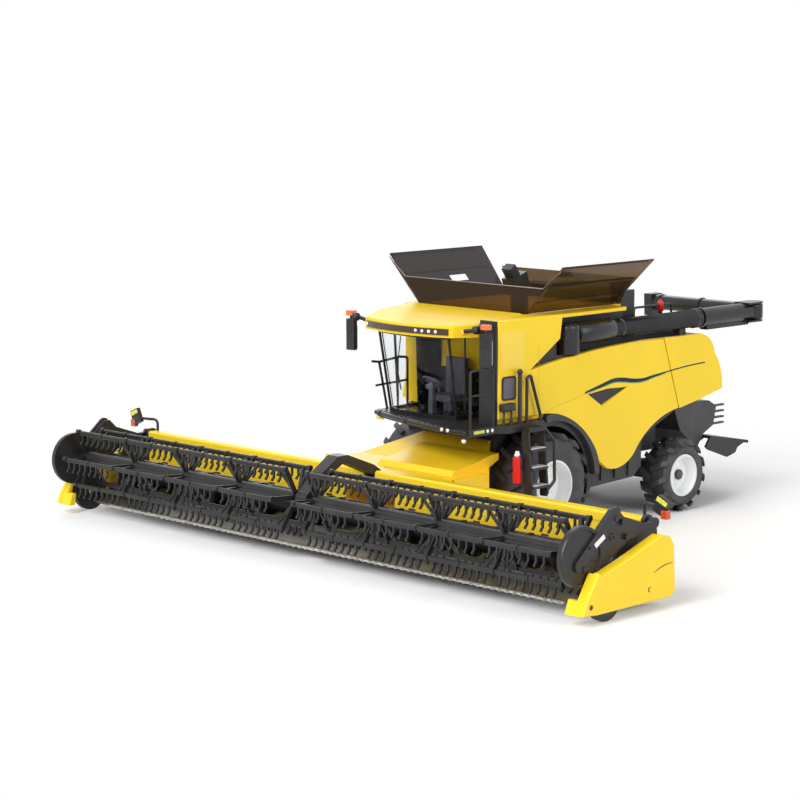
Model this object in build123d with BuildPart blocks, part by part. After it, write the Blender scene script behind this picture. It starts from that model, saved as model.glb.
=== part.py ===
from build123d import *
import os
from math import atan2, cos, degrees, hypot, radians, sin

os.makedirs("parts", exist_ok=True)

# Frame: +X is the machine's left side, -Y is forward and +Z is up.
# The origin is on the ground under the middle of the machine with its header.
# All sizes are those of a 1:32 scale model, in millimetres.

# Running gear
FRONT_AXLE_Y = -18.6
WHEELBASE = 115.2
FRONT_TYRE_R = 29.5
FRONT_TYRE_W = 25.0
FRONT_TYRE_OUT = 56.0
FRONT_RIM_R = 14.7
REAR_TYRE_R = 21.3
REAR_TYRE_W = 19.0
REAR_TYRE_OUT = 54.5
REAR_RIM_R = 12.3
FRONT_LUGS = 15
REAR_LUGS = 13
LUG_H = 2.6
LUG_W = 2.8
AXLE_R = 2.0
RUN_GAP = 0.06
KINGPIN_X = 31.0
KINGPIN_R = 1.6

# Body
BODY_HALF = 53.0
PANEL_T = 3.0
PANEL_ROUND = 0.8
CORE_HALF = 49.8
CHASSIS_HALF = 26.0
BELLY_HALF = 46.5
BODY_FRONT_Y = -62.7
TANK_FRONT_Y = -30.0
CABINET_X = 40.3
DECK_Z = 68.0
DECK_T = 4.0
CORE_LOW_Z = 62.0
CORE_TOP_Z = 101.0
TANK_TOP_Z = 124.0
LEDGE_T = 2.2
LEDGE_END_Y = 43.3
BAY_FRONT_Y = -11.0
TANK_HALF = 41.0
TANK_REAR_Y = 52.0
LINER_T = 1.2
DECK_RISE = 4.0
HOOD_REAR_Y = 131.7

# Grain tank opening and its flaps
MOUTH_HALF = 38.5
MOUTH_FRONT_Y = -24.5
MOUTH_REAR_Y = 45.0
FLAP_T = 0.8
FLAP_SLANT = 35.6
FLAP_ANGLE = 46.3
FLAP_HINGE_X = 41.4
FLAP_HINGE_Z = 125.2
FLAP_FRONT_Y = -26.2
FLAP_REAR_LOW_Y = 46.0
FLAP_REAR_TOP_Y = 50.6
FRONT_PANEL_TOP_Z = 138.7
FLAP_RIBS = (8.0, 21.0, FLAP_SLANT - 0.8)

# Cab
CAB_HALF_LOW = 25.6
CAB_HALF_TOP = 27.0
CAB_REAR_Y = -31.0
CAB_FRONT_LOW_Y = -66.0
CAB_FRONT_TOP_Y = -74.0
CAB_BOW = 4.5
CAB_LOW_Z = 68.0
CAB_TOP_Z = 114.5
FRAME_T = 1.2
GLASS_T = 0.7
ROOF_LOW_Z = 114.5

# Unloading auger
AUGER_X = 49.0
AUGER_Z = 112.0
TURRET_Y = -2.0
TURRET_R = 6.4
TUBE_R = 4.4
OUTER_TUBE_R = 5.4
TUBE_STEP_Y = 113.0
FOLD_Y = 166.0
FOLD_R = 5.7
CROSS_TUBE_R = 5.2
CROSS_END_X = -26.0

# Header
SHEET_X = 188.0
SHEET_T = 2.2
DIVIDER_X = 199.0
DIVIDER_T = 3.0
BEAM_Y = -107.0
BEAM_D = 7.0
BEAM_Z = 38.0
BEAM_H = 5.0
WALL_T = 2.0
INTAKE_Y = -117.0
INTAKE_Z = 19.0
INTAKE_R = 9.5
DRUM_R = 5.6
KNIFE_Y = -146.0
KNIFE_Z = 5.4
KNIFE_T = 1.0
KNIFE_HALF = 177.0
FINGER_PITCH = 4.8
FINGER_L = 4.1
GAUGE_R = 11.0
GAUGE_W = 3.2
GAUGE_Y = -144.4
GAUGE_X = 197.0
GAUGE_AXLE_R = 1.6

# Reel
REEL_Y = -152.3
REEL_Z = 33.0
BAT_RING_R = 17.5
BAT_COUNT = 6
BAT_PHASE = 176.0
BAT_R = 0.95
REEL_TUBE_R = 3.4
REEL_IN = 7.5
REEL_OUT = 187.0
BAYS = 4
TINES_PER_BAY = 8
TINE_L = 5.2
TINE_W = 1.2
TINE_T = 0.9
TIP_L = 2.6
TIP_ANGLE = 40.0
SHIELD_R = 14.8
SHIELD_Y = -158.0
SHIELD_Z = 32.3
SHIELD_X = 192.2
REEL_PIVOT_Y = -103.5
REEL_PIVOT_Z = 41.0
PIVOT_HUB_R = 2.6

# Feeder
FEEDER_PIVOT_Y = -36.0
FEEDER_PIVOT_Z = 50.0
FEEDER_HALF = 25.0
FEEDER_PIN_R = 2.2
HOOD_HALF = 49.0
SHELF_Z = 42.0

REAR_AXLE_Y = FRONT_AXLE_Y + WHEELBASE
AXLE_SEAT_Z = 33.0


def save(builder, name):
    builder.part.label = name
    export_step(builder.part, f"parts/{name}.step")


def save_pair(builder, name):
    """Save the left-hand piece and its mirror image on the right."""
    save(builder, f"{name}_left")
    with BuildPart() as other:
        add(mirror(builder.part, about=Plane.YZ))
    save(other, f"{name}_right")


def side_plane(x, y=0.0, z=0.0):
    """Plane across the machine: its own x is +Y and its own y is +Z."""
    return Plane(origin=(x, y, z), x_dir=(0, 1, 0), z_dir=(1, 0, 0))


def rod(points, radius, bend):
    """Round bar bent along a run of points."""
    with BuildPart() as bar:
        with BuildLine() as run:
            if len(points) > 2:
                FilletPolyline(*points, radius=bend)
            else:
                Line(*points)
        start = run.line @ 0
        with BuildSketch(Plane(origin=start, z_dir=run.line % 0)):
            Circle(radius)
        sweep(path=run.line)
    return bar.part


def cross_hole(builder_plane, radius, length):
    """Round cutter along the plane's normal."""
    with BuildPart() as cutter:
        with BuildSketch(builder_plane):
            Circle(radius)
        extrude(amount=length / 2, both=True)
    return cutter.part


# Tyres: revolved carcass with two staggered rows of slanted lugs

def tyre_body(side, axle_y, radius, width, outer, rim_r, lugs):
    carcass_r = radius - LUG_H
    inner = outer - width
    axis = Axis((0, axle_y, radius), (1, 0, 0))
    mid = side * (inner + outer) / 2
    bead = rim_r + RUN_GAP
    wall_h = carcass_r - bead
    hub = Plane(origin=(0, axle_y, radius), x_dir=(1, 0, 0), z_dir=(0, -1, 0))
    with BuildPart(side_plane(mid, axle_y, radius)) as lug_ring:
        for row in (-1, 1):
            with BuildPart(side_plane(mid + row * width / 4, axle_y, radius)) as lug_row:
                shift = 0 if row < 0 else 180 / lugs
                with PolarLocations(carcass_r + LUG_H / 2, lugs, start_angle=90 + shift):
                    Box(LUG_H + 1.6, LUG_W, width * 0.56, rotation=(row * side * 28, 0, 0))
            add(lug_row.part)
        with BuildSketch(hub):
            with BuildLine():
                Polyline(
                    (side * inner, bead + wall_h * 0.5),
                    (side * outer, bead + wall_h * 0.5),
                    (side * outer, radius - 2.6),
                    (side * (outer - 2.4), radius),
                    (side * (inner + 2.4), radius),
                    (side * inner, radius - 2.6),
                    close=True,
                )
            make_face()
        revolve(axis=axis, mode=Mode.INTERSECT)
    with BuildPart() as carcass:
        with BuildSketch(hub):
            with BuildLine():
                Polyline(
                    (side * (inner + 1.4), bead),
                    (side * inner, bead + wall_h * 0.3),
                    (side * inner, bead + wall_h * 0.6),
                    (side * (inner + 2.2), carcass_r - 0.7),
                    (mid, carcass_r),
                    (side * (outer - 2.2), carcass_r - 0.7),
                    (side * outer, bead + wall_h * 0.6),
                    (side * outer, bead + wall_h * 0.3),
                    (side * (outer - 1.4), bead),
                    close=True,
                )
            make_face()
        revolve(axis=axis)
        add(lug_ring.part)
    return carcass


def rim_body(side, axle_y, radius, width, outer, rim_r, dish, hub_r, hub_len, through):
    """Rim with a dished disc and a hub bored for its axle."""
    inner = outer - width
    barrel_t = 1.1
    disc_t = 1.6
    face = outer - dish
    bore_r = AXLE_R + RUN_GAP
    bore_end = outer if through else face - disc_t / 2
    hub = Plane(origin=(0, axle_y, radius), x_dir=(1, 0, 0), z_dir=(0, -1, 0))
    axis = Axis((0, axle_y, radius), (1, 0, 0))
    with BuildPart() as rim:
        with BuildSketch(hub):
            with BuildLine():
                Polyline(
                    (side * (inner + 1.6), rim_r),
                    (side * (outer - 1.2), rim_r),
                    (side * (outer - 0.8), rim_r - 1.3),
                    (side * face, rim_r - 3.2),
                    (side * face, hub_r + 1.6),
                    (side * (face + 1.2), hub_r),
                    (side * (face + 1.2), 0),
                    (side * (face - hub_len), 0),
                    (side * (face - hub_len), hub_r),
                    (side * (face - disc_t), hub_r),
                    (side * (face - disc_t), rim_r - barrel_t),
                    (side * (inner + 1.6), rim_r - barrel_t),
                    close=True,
                )
            make_face()
        revolve(axis=axis)
        bore_start = face - hub_len - 1
        with BuildSketch(side_plane(side * bore_start, axle_y, radius)):
            Circle(bore_r)
        extrude(amount=side * (bore_end - bore_start), mode=Mode.SUBTRACT)
    return rim


FRONT_DISH = 8.5
FRONT_HUB_R = 4.6
FRONT_HUB_L = 7.0
REAR_DISH = 7.0
REAR_HUB_R = 4.2
REAR_HUB_L = 5.5

front_tyre = tyre_body(
    1, FRONT_AXLE_Y, FRONT_TYRE_R, FRONT_TYRE_W, FRONT_TYRE_OUT, FRONT_RIM_R, FRONT_LUGS
)
save_pair(front_tyre, "tyre_front")
rear_tyre = tyre_body(
    1, REAR_AXLE_Y, REAR_TYRE_R, REAR_TYRE_W, REAR_TYRE_OUT, REAR_RIM_R, REAR_LUGS
)
save_pair(rear_tyre, "tyre_rear")
front_rim = rim_body(
    1, FRONT_AXLE_Y, FRONT_TYRE_R, FRONT_TYRE_W, FRONT_TYRE_OUT, FRONT_RIM_R,
    FRONT_DISH, FRONT_HUB_R, FRONT_HUB_L, False,
)
save_pair(front_rim, "rim_front")
rear_rim = rim_body(
    1, REAR_AXLE_Y, REAR_TYRE_R, REAR_TYRE_W, REAR_TYRE_OUT, REAR_RIM_R,
    REAR_DISH, REAR_HUB_R, REAR_HUB_L, True,
)
save_pair(rear_rim, "rim_rear")

# Chassis: centre beam with the front axle housing and its final drives

FRONT_STUB_END = FRONT_TYRE_OUT - FRONT_DISH - 1.6
with BuildPart() as chassis:
    with BuildSketch(Plane.YZ):
        with BuildLine():
            Polyline(
                (-30, 34), (-30, CORE_LOW_Z), (103.6, CORE_LOW_Z), (103.6, AXLE_SEAT_Z),
                (84, AXLE_SEAT_Z), (60, 24), (20, 19), (-8, 19), (-14, 22), (-26, 22),
                close=True,
            )
        make_face()
    extrude(amount=CHASSIS_HALF, both=True)
    with BuildSketch(Plane.YZ):
        with BuildLine():
            Polyline(
                (21.5, 23), (58, 24.5), (65.5, 30), (65.5, 46), (76, 51), (92, 57.5),
                (100, CORE_LOW_Z - 0.1), (6, CORE_LOW_Z - 0.1), (14, 52), (20, 38), close=True,
            )
        make_face()
    extrude(amount=BELLY_HALF, both=True)
    for rib_y in (30, 42, 54):
        with BuildSketch(side_plane(-BELLY_HALF - 1.2, rib_y)):
            with Locations((0, 33)):
                Rectangle(2, 14)
        extrude(amount=2 * BELLY_HALF + 2.4)
    with BuildSketch(side_plane(0, FRONT_AXLE_Y, FRONT_TYRE_R)):
        RectangleRounded(16, 14, 3)
    extrude(amount=29, both=True)
    with BuildSketch(side_plane(0, FRONT_AXLE_Y, FRONT_TYRE_R)):
        Circle(9)
    extrude(amount=37, both=True)
    with BuildSketch(side_plane(0, FRONT_AXLE_Y, FRONT_TYRE_R)):
        Circle(AXLE_R)
    extrude(amount=FRONT_STUB_END - 0.6, both=True)
    for side in (1, -1):
        with BuildSketch(side_plane(side * (FEEDER_HALF + 0.4))):
            with BuildLine():
                Polyline(
                    (FEEDER_PIVOT_Y - 3, FEEDER_PIVOT_Z - 3), (FEEDER_PIVOT_Y - 2.6, 53),
                    (FEEDER_PIVOT_Y + 2, CORE_LOW_Z), (-20, CORE_LOW_Z), (-20, 44), (-30, 43),
                    close=True,
                )
            make_face()
        extrude(amount=side * 3.2)
    with BuildSketch(side_plane(0, FEEDER_PIVOT_Y, FEEDER_PIVOT_Z)):
        Circle(FEEDER_PIN_R)
    extrude(amount=FEEDER_HALF + 1, both=True)
save(chassis, "chassis_frame")

# Rear axle beam with a boss for each kingpin, and the hitch plate behind it

KING_LOW = 16.1
KING_HIGH = 26.5
BOSS_R = 3.3
HITCH_Y = 133.0
HITCH_R = 1.25
HITCH_T = 3.0
HITCH_Z = 17.5
with BuildPart() as rear_axle:
    with BuildSketch(side_plane(0, REAR_AXLE_Y, REAR_TYRE_R)):
        RectangleRounded(9, 9, 1.5)
    extrude(amount=KINGPIN_X, both=True)
    with Locations((0, REAR_AXLE_Y, (REAR_TYRE_R + AXLE_SEAT_Z) / 2)):
        Box(18, 12, AXLE_SEAT_Z - REAR_TYRE_R)
    with BuildSketch(Plane.XY.offset(KING_LOW)):
        with Locations((KINGPIN_X, REAR_AXLE_Y), (-KINGPIN_X, REAR_AXLE_Y)):
            Circle(BOSS_R)
    extrude(amount=KING_HIGH - KING_LOW)
    with BuildSketch(Plane.XY.offset(0)):
        with Locations((KINGPIN_X, REAR_AXLE_Y), (-KINGPIN_X, REAR_AXLE_Y)):
            Circle(KINGPIN_R + RUN_GAP)
    extrude(amount=60, mode=Mode.SUBTRACT)
    with BuildSketch(Plane.XY.offset(HITCH_Z)):
        with BuildLine():
            Polyline(
                (-10, REAR_AXLE_Y), (10, REAR_AXLE_Y), (4.5, HITCH_Y), (-4.5, HITCH_Y),
                close=True,
            )
        make_face()
        with Locations((0, HITCH_Y)):
            Circle(4.5)
            Circle(HITCH_R, mode=Mode.SUBTRACT)
    extrude(amount=HITCH_T)
save(rear_axle, "rear_axle_beam")

YOKE_T = 1.7
YOKE_GAP = 0.3
YOKE_WEB_X = 35.0
YOKE_WEB_T = 2.0
REAR_FACE_X = REAR_TYRE_OUT - REAR_DISH
CAP_T = 1.0
CAP_R = 3.0
for side, tag in ((1, "left"), (-1, "right")):
    with BuildPart() as knuckle:
        for low in (KING_LOW - YOKE_GAP - YOKE_T, KING_HIGH + YOKE_GAP):
            with BuildSketch(Plane.XY.offset(low)):
                with Locations((side * KINGPIN_X, REAR_AXLE_Y)):
                    Circle(BOSS_R)
                with Locations((side * (KINGPIN_X + YOKE_WEB_X + YOKE_WEB_T) / 2, REAR_AXLE_Y)):
                    Rectangle(YOKE_WEB_X + YOKE_WEB_T - KINGPIN_X, 2 * BOSS_R)
            extrude(amount=YOKE_T)
        web_x = side * (YOKE_WEB_X + YOKE_WEB_T / 2)
        web_h = KING_HIGH - KING_LOW + 2 * (YOKE_GAP + YOKE_T)
        with Locations((web_x, REAR_AXLE_Y, (KING_HIGH + KING_LOW) / 2)):
            Box(YOKE_WEB_T, 2 * BOSS_R, web_h)
        with BuildSketch(Plane.XY.offset(KING_LOW - YOKE_GAP)):
            with Locations((side * KINGPIN_X, REAR_AXLE_Y)):
                Circle(KINGPIN_R)
        extrude(amount=KING_HIGH - KING_LOW + 2 * YOKE_GAP)
        with BuildSketch(side_plane(side * YOKE_WEB_X, REAR_AXLE_Y, REAR_TYRE_R)):
            Circle(AXLE_R)
        extrude(amount=side * (REAR_FACE_X + 1.6 - YOKE_WEB_X))
        with BuildSketch(side_plane(side * (REAR_FACE_X + 1.5), REAR_AXLE_Y, REAR_TYRE_R)):
            Circle(CAP_R)
        extrude(amount=side * CAP_T)
    save(knuckle, f"knuckle_{tag}")

# Core of the body: dark block behind the panels and the bay for the auger

with BuildPart() as engine_bay:
    with BuildSketch(Plane.YZ):
        with BuildLine():
            Polyline(
                (-13, 68.4), (-13, CORE_TOP_Z), (113, CORE_TOP_Z), (120, 94), (126, 82),
                (126.4, 70), (104, CORE_LOW_Z), (14, CORE_LOW_Z), (6, 68.4), close=True,
            )
        make_face()
    extrude(amount=CORE_HALF, both=True)
    liner_h = TANK_TOP_Z - LEDGE_T - 0.2 - CORE_TOP_Z
    liner_at = (TANK_HALF + LINER_T / 2, (BAY_FRONT_Y + TANK_REAR_Y) / 2, CORE_TOP_Z + liner_h / 2)
    with Locations(liner_at):
        Box(LINER_T, TANK_REAR_Y - BAY_FRONT_Y, liner_h)
    with Locations((0, (TANK_REAR_Y + 112.8) / 2, CORE_TOP_Z + DECK_RISE / 2)):
        Box(80, 112.8 - TANK_REAR_Y, DECK_RISE)
    with Locations((AUGER_X - 2.5, 98, (CORE_TOP_Z + AUGER_Z - TUBE_R - 0.3) / 2)):
        Box(5, 4, AUGER_Z - TUBE_R - 0.3 - CORE_TOP_Z)
save(engine_bay, "engine_bay")

# Air intake tower behind the grain tank, and the deck's louvred cover

TOWER_Z = 131.0
with BuildPart() as air_intake:
    with BuildSketch(Plane.XY.offset(CORE_TOP_Z + 4)):
        with Locations((0, 61)):
            RectangleRounded(78, 14, 2)
    extrude(amount=TOWER_Z - CORE_TOP_Z - 4)
    with Locations(Plane(origin=(0, 68, 118), x_dir=(1, 0, 0), z_dir=(0, 1, 0))):
        with GridLocations(0, 4.2, 1, 5):
            Box(60, 2.0, 2.0, mode=Mode.SUBTRACT)
save(air_intake, "air_intake")

with BuildPart() as engine_cover:
    with BuildSketch(Plane.XY.offset(CORE_TOP_Z + 4)):
        with Locations((0, 89)):
            RectangleRounded(66, 34, 3)
    extrude(amount=4.5, taper=12)
    with Locations((0, 89, CORE_TOP_Z + 8.5)):
        with GridLocations(0, 6, 1, 5):
            Box(48, 2.4, 2.0, mode=Mode.SUBTRACT)
save(engine_cover, "engine_cover")

# Grain tank with the front part of the body in one moulding

with BuildPart() as tank:
    with Locations((0, (TANK_FRONT_Y - 13) / 2, (DECK_Z + TANK_TOP_Z) / 2)):
        Box(2 * CORE_HALF, -13 - TANK_FRONT_Y, TANK_TOP_Z - DECK_Z)
    cabinet_x = (CABINET_X + CORE_HALF) / 2
    with Locations((cabinet_x, (BODY_FRONT_Y + TANK_FRONT_Y) / 2, (DECK_Z + TANK_TOP_Z) / 2)):
        Box(CORE_HALF - CABINET_X, TANK_FRONT_Y - BODY_FRONT_Y, TANK_TOP_Z - DECK_Z)
    with Locations(((TANK_HALF - CORE_HALF) / 2, (TANK_REAR_Y - 13) / 2, (CORE_TOP_Z + TANK_TOP_Z) / 2)):
        Box(TANK_HALF + CORE_HALF, TANK_REAR_Y + 13, TANK_TOP_Z - CORE_TOP_Z)
    with Locations((CORE_HALF / 2, (LEDGE_END_Y - 13) / 2, TANK_TOP_Z - LEDGE_T / 2)):
        Box(CORE_HALF, LEDGE_END_Y + 13, LEDGE_T)
    mouth_y = (MOUTH_FRONT_Y + MOUTH_REAR_Y) / 2
    with BuildSketch(Plane.XY.offset(TANK_TOP_Z)):
        with Locations((0, mouth_y)):
            Rectangle(2 * MOUTH_HALF, MOUTH_REAR_Y - MOUTH_FRONT_Y)
    with BuildSketch(Plane.XY.offset(CORE_TOP_Z + 3)):
        with Locations((0, mouth_y)):
            Rectangle(46, 40)
    loft(mode=Mode.SUBTRACT)
save(tank, "grain_tank")

# Side panels: the outline follows both wheel arches and the auger bay

SHUT_TOP = (76.7, 103.4)
SHUT_LOW = (91.5, 61.4)
for side, tag in ((1, "left"), (-1, "right")):
    with BuildPart() as panel:
        with BuildSketch(side_plane(side * (BODY_HALF - PANEL_T))):
            with BuildLine():
                if side > 0:
                    Line((BODY_FRONT_Y, 71), (-32, 70.2))
                    ThreePointArc((-32, 70.2), (2.5, 61.3), (21.6, 38.2))
                else:
                    Line((TANK_FRONT_Y, 69.8), (-28, 69.6))
                    ThreePointArc((-28, 69.6), (2.5, 61.3), (21.6, 38.2))
                Line((21.6, 38.2), (27.5, 34.0))
                ThreePointArc((27.5, 34.0), (41.0, 33.4), (52.2, 40.3))
                Spline((52.2, 40.3), (60.9, 49.1), (74.2, 56.9), SHUT_LOW)
                Line(SHUT_LOW, SHUT_TOP)
                if side > 0:
                    ThreePointArc(SHUT_TOP, (20.4, 102.1), (-36.7, 95.6))
                    Polyline(
                        (-36.7, 95.6), (BAY_FRONT_Y - 1.7, 110.5),
                        (BAY_FRONT_Y, TANK_TOP_Z - LEDGE_T), (LEDGE_END_Y, TANK_TOP_Z - LEDGE_T),
                        (LEDGE_END_Y, TANK_TOP_Z), (BODY_FRONT_Y, TANK_TOP_Z),
                        (BODY_FRONT_Y, 71),
                    )
                else:
                    Polyline(
                        SHUT_TOP, (TANK_REAR_Y + 2, 103.4), (TANK_REAR_Y, TANK_TOP_Z),
                        (-20, TANK_TOP_Z), (TANK_FRONT_Y, 69.8),
                    )
            make_face()
        extrude(amount=side * PANEL_T)
        outer_face = panel.faces().sort_by(Axis.X)[-1 if side > 0 else 0]
        fillet(outer_face.outer_wire().edges(), PANEL_ROUND)
        with BuildSketch(side_plane(side * BODY_HALF)):
            with BuildLine():
                Polyline((10.6, 77.6), (22.7, 69.8), (45.1, 78.6), (28, 79.2), close=True)
            make_face()
        extrude(amount=side * -1.4, mode=Mode.SUBTRACT)
    save(panel, f"side_panel_{tag}")

with BuildPart() as cabinet_front:
    with BuildSketch(Plane(origin=(0, BODY_FRONT_Y - 0.05, 0), x_dir=(1, 0, 0), z_dir=(0, -1, 0))):
        with Locations(((CABINET_X + BODY_HALF - 0.4) / 2, (DECK_Z + TANK_TOP_Z - 2.6) / 2)):
            RectangleRounded(BODY_HALF - 0.4 - CABINET_X, TANK_TOP_Z - 2.6 - DECK_Z, 0.8)
    extrude(amount=1.2)
save(cabinet_front, "cabinet_front")

# Rear hood: both rear quarters and the rounded tail in one piece

with BuildPart() as rear_hood:
    with BuildSketch(Plane.YZ):
        with BuildLine():
            Line((SHUT_LOW[0] + 0.5, SHUT_LOW[1]), (SHUT_TOP[0] + 0.5, SHUT_TOP[1]))
            Line((SHUT_TOP[0] + 0.5, SHUT_TOP[1]), (111, 103.2))
            ThreePointArc((111, 103.2), (119.0, 99.6), (124.4, 90.6))
            ThreePointArc((124.4, 90.6), (130.4, 80), (HOOD_REAR_Y, 69.2))
            Line((HOOD_REAR_Y, 69.2), (111, 64.7))
            Line((111, 64.7), (SHUT_LOW[0] + 0.5, SHUT_LOW[1]))
        make_face()
    extrude(amount=BODY_HALF, both=True)
    with BuildSketch(Plane.YZ):
        with BuildLine():
            Line((60, 50), (60, 110))
            Line((60, 110), (113.2, 110))
            Line((113.2, 110), (113.2, CORE_TOP_Z + 0.2))
            Line((113.2, CORE_TOP_Z + 0.2), (120.3, 94))
            Line((120.3, 94), (126.4, 82))
            Line((126.4, 82), (127.4, 50))
            Line((127.4, 50), (60, 50))
        make_face()
    extrude(amount=BODY_HALF - PANEL_T, both=True, mode=Mode.SUBTRACT)
save(rear_hood, "rear_hood")

# Front wheel arches

with BuildPart() as arches:
    for side in (1, -1):
        with BuildSketch(side_plane(side * 30.0, FRONT_AXLE_Y, FRONT_TYRE_R)):
            with BuildLine():
                Polyline((-12, 33), (-12, 39.5), (46, 39.5), (46, 6), (33, -9), (0, 0), close=True)
            make_face()
            Circle(38.3, mode=Mode.INTERSECT)
            Circle(33.0, mode=Mode.SUBTRACT)
        extrude(amount=side * 19.9)
save(arches, "wheel_arches")

# Cab: bowed windscreen, door glass and pillars from one tapered outline


def cab_outline(z, half, front_y, inset):
    with BuildSketch(Plane.XY.offset(z)) as outline:
        with BuildLine():
            edge = half - inset
            front = front_y + inset
            rear = CAB_REAR_Y - inset
            ThreePointArc((-edge, front), (0, front - CAB_BOW), (edge, front))
            Polyline((edge, front), (edge + 2.5, rear), (-edge - 2.5, rear), (-edge, front))
        make_face()
    return outline.sketch


def cab_shell(inset, wall):
    with BuildPart() as shell:
        add(cab_outline(CAB_LOW_Z, CAB_HALF_LOW, CAB_FRONT_LOW_Y, inset))
        add(cab_outline(CAB_TOP_Z, CAB_HALF_TOP, CAB_FRONT_TOP_Y, inset))
        loft()
    with BuildPart() as inside:
        add(cab_outline(CAB_LOW_Z - 0.01, CAB_HALF_LOW, CAB_FRONT_LOW_Y, inset + wall))
        add(cab_outline(CAB_TOP_Z + 0.01, CAB_HALF_TOP, CAB_FRONT_TOP_Y, inset + wall))
        loft()
    return shell.part - inside.part


WINDOW_LOW_Z = CAB_LOW_Z + 3.0
WINDOW_TOP_Z = CAB_TOP_Z - 1.5
with BuildPart() as cab_frame:
    add(cab_shell(0, FRAME_T))
    window_h = WINDOW_TOP_Z - WINDOW_LOW_Z
    window_z = (WINDOW_TOP_Z + WINDOW_LOW_Z) / 2
    with BuildSketch(Plane(origin=(0, -90, 0), x_dir=(1, 0, 0), z_dir=(0, -1, 0))):
        with BuildLine():
            Polyline(
                (-CAB_HALF_LOW + 2.2, WINDOW_LOW_Z), (CAB_HALF_LOW - 2.2, WINDOW_LOW_Z),
                (CAB_HALF_TOP - 2.2, WINDOW_TOP_Z), (-CAB_HALF_TOP + 2.2, WINDOW_TOP_Z),
                close=True,
            )
        make_face()
    extrude(amount=-34, mode=Mode.SUBTRACT)
    with BuildSketch(Plane.YZ):
        with BuildLine():
            Polyline(
                (CAB_FRONT_LOW_Y + 3.4, WINDOW_LOW_Z), (CAB_REAR_Y - 12, WINDOW_LOW_Z),
                (CAB_REAR_Y - 12, WINDOW_TOP_Z), (CAB_FRONT_TOP_Y + 3.8, WINDOW_TOP_Z),
                close=True,
            )
        make_face()
    extrude(amount=40, both=True, mode=Mode.SUBTRACT)
    with Locations((0, CAB_REAR_Y, 101)):
        Box(40, 6, 20, mode=Mode.SUBTRACT)
    with BuildSketch(Plane.XY.offset(CAB_LOW_Z)):
        add(cab_outline(0, CAB_HALF_LOW, CAB_FRONT_LOW_Y, FRAME_T + GLASS_T + 0.2).moved(
            Location((0, 0, CAB_LOW_Z))))
    extrude(amount=1.2)
save(cab_frame, "cab_frame")

with BuildPart() as cab_glass:
    add(cab_shell(FRAME_T + 0.05, GLASS_T))
    with Locations((0, CAB_REAR_Y - 4, 90)):
        Box(80, 12, 60, mode=Mode.SUBTRACT)
save(cab_glass, "cab_glass")

ROOF_CORNER_X = 33.5
ROOF_CORNER_Y = -77.0
ROOF_NOSE_Y = -83.5
ROOF_BACK_Z = 125.0
BAND_T = 0.7
roof_sag = ROOF_CORNER_Y - ROOF_NOSE_Y
ROOF_ARC_R = (ROOF_CORNER_X**2 + roof_sag**2) / (2 * roof_sag)
with BuildPart() as roof:
    with BuildSketch(Plane.XY.offset(ROOF_LOW_Z)):
        with BuildLine():
            ThreePointArc(
                (-ROOF_CORNER_X, ROOF_CORNER_Y), (0, ROOF_NOSE_Y), (ROOF_CORNER_X, ROOF_CORNER_Y)
            )
            Polyline(
                (ROOF_CORNER_X, ROOF_CORNER_Y), (CABINET_X - 0.2, -64.4),
                (CABINET_X - 0.2, TANK_FRONT_Y - 0.1), (-44, TANK_FRONT_Y - 0.1), (-44, -57),
                (-ROOF_CORNER_X, ROOF_CORNER_Y),
            )
        make_face()
    extrude(amount=ROOF_BACK_Z - ROOF_LOW_Z)
    with BuildSketch(Plane.YZ):
        with BuildLine():
            Polyline((-90, 120.0), (TANK_FRONT_Y, ROOF_BACK_Z), (-90, 130), close=True)
        make_face()
    extrude(amount=60, both=True, mode=Mode.SUBTRACT)
    fillet(roof.faces().sort_by(Axis.Z)[-1].outer_wire().edges(), 1.2)
save(roof, "cab_roof")

with BuildPart() as light_bar:
    with BuildSketch(Plane.XY.offset(ROOF_LOW_Z + 1.4)):
        with Locations((0, ROOF_NOSE_Y + ROOF_ARC_R)):
            Circle(ROOF_ARC_R + BAND_T)
            Circle(ROOF_ARC_R + 0.05, mode=Mode.SUBTRACT)
        with Locations((0, ROOF_NOSE_Y)):
            Rectangle(2 * ROOF_CORNER_X - 5, 2 * roof_sag, mode=Mode.INTERSECT)
    extrude(amount=3.4)
save(light_bar, "roof_light_bar")

with BuildPart() as seat:
    with Locations((0, -45, 76.5)):
        Box(15, 14, 3.5)
    with Locations((0, -38.8, 87)):
        Box(14, 3.2, 22)
    with Locations((0, -45, 72)):
        Cylinder(3.2, 5.6)
    with Locations((-9.2, -46, 82)):
        Box(2.6, 14, 2.6)
    with Locations((-9.2, -42, 77.5)):
        Box(2.2, 4, 7)
save(seat, "cab_seat")

with BuildPart() as steering:
    with BuildSketch(Plane.YZ):
        with BuildLine():
            Polyline((-60, 69.2), (-56.5, 69.2), (-58, 86), (-59.6, 86), close=True)
        make_face()
    extrude(amount=1.6, both=True)
    with BuildSketch(Plane(origin=(0, -58.6, 86.2), x_dir=(1, 0, 0), z_dir=(0, 0.5, 0.87))):
        Circle(5.8)
        Circle(4.9, mode=Mode.SUBTRACT)
        Rectangle(10.4, 1.4)
    extrude(amount=1.0)
save(steering, "cab_steering_column")

# Platform round the cab

with BuildPart() as platform:
    with BuildSketch(Plane.XY.offset(DECK_Z - DECK_T)):
        with BuildLine():
            Polyline(
                (-36, -66), (-36, TANK_FRONT_Y - 1), (58, TANK_FRONT_Y - 1), (58, -60),
                (53.5, -66), (53.5, -86), (30, -84), (0, -77), close=True,
            )
        make_face()
    extrude(amount=DECK_T)
save(platform, "platform")

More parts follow.
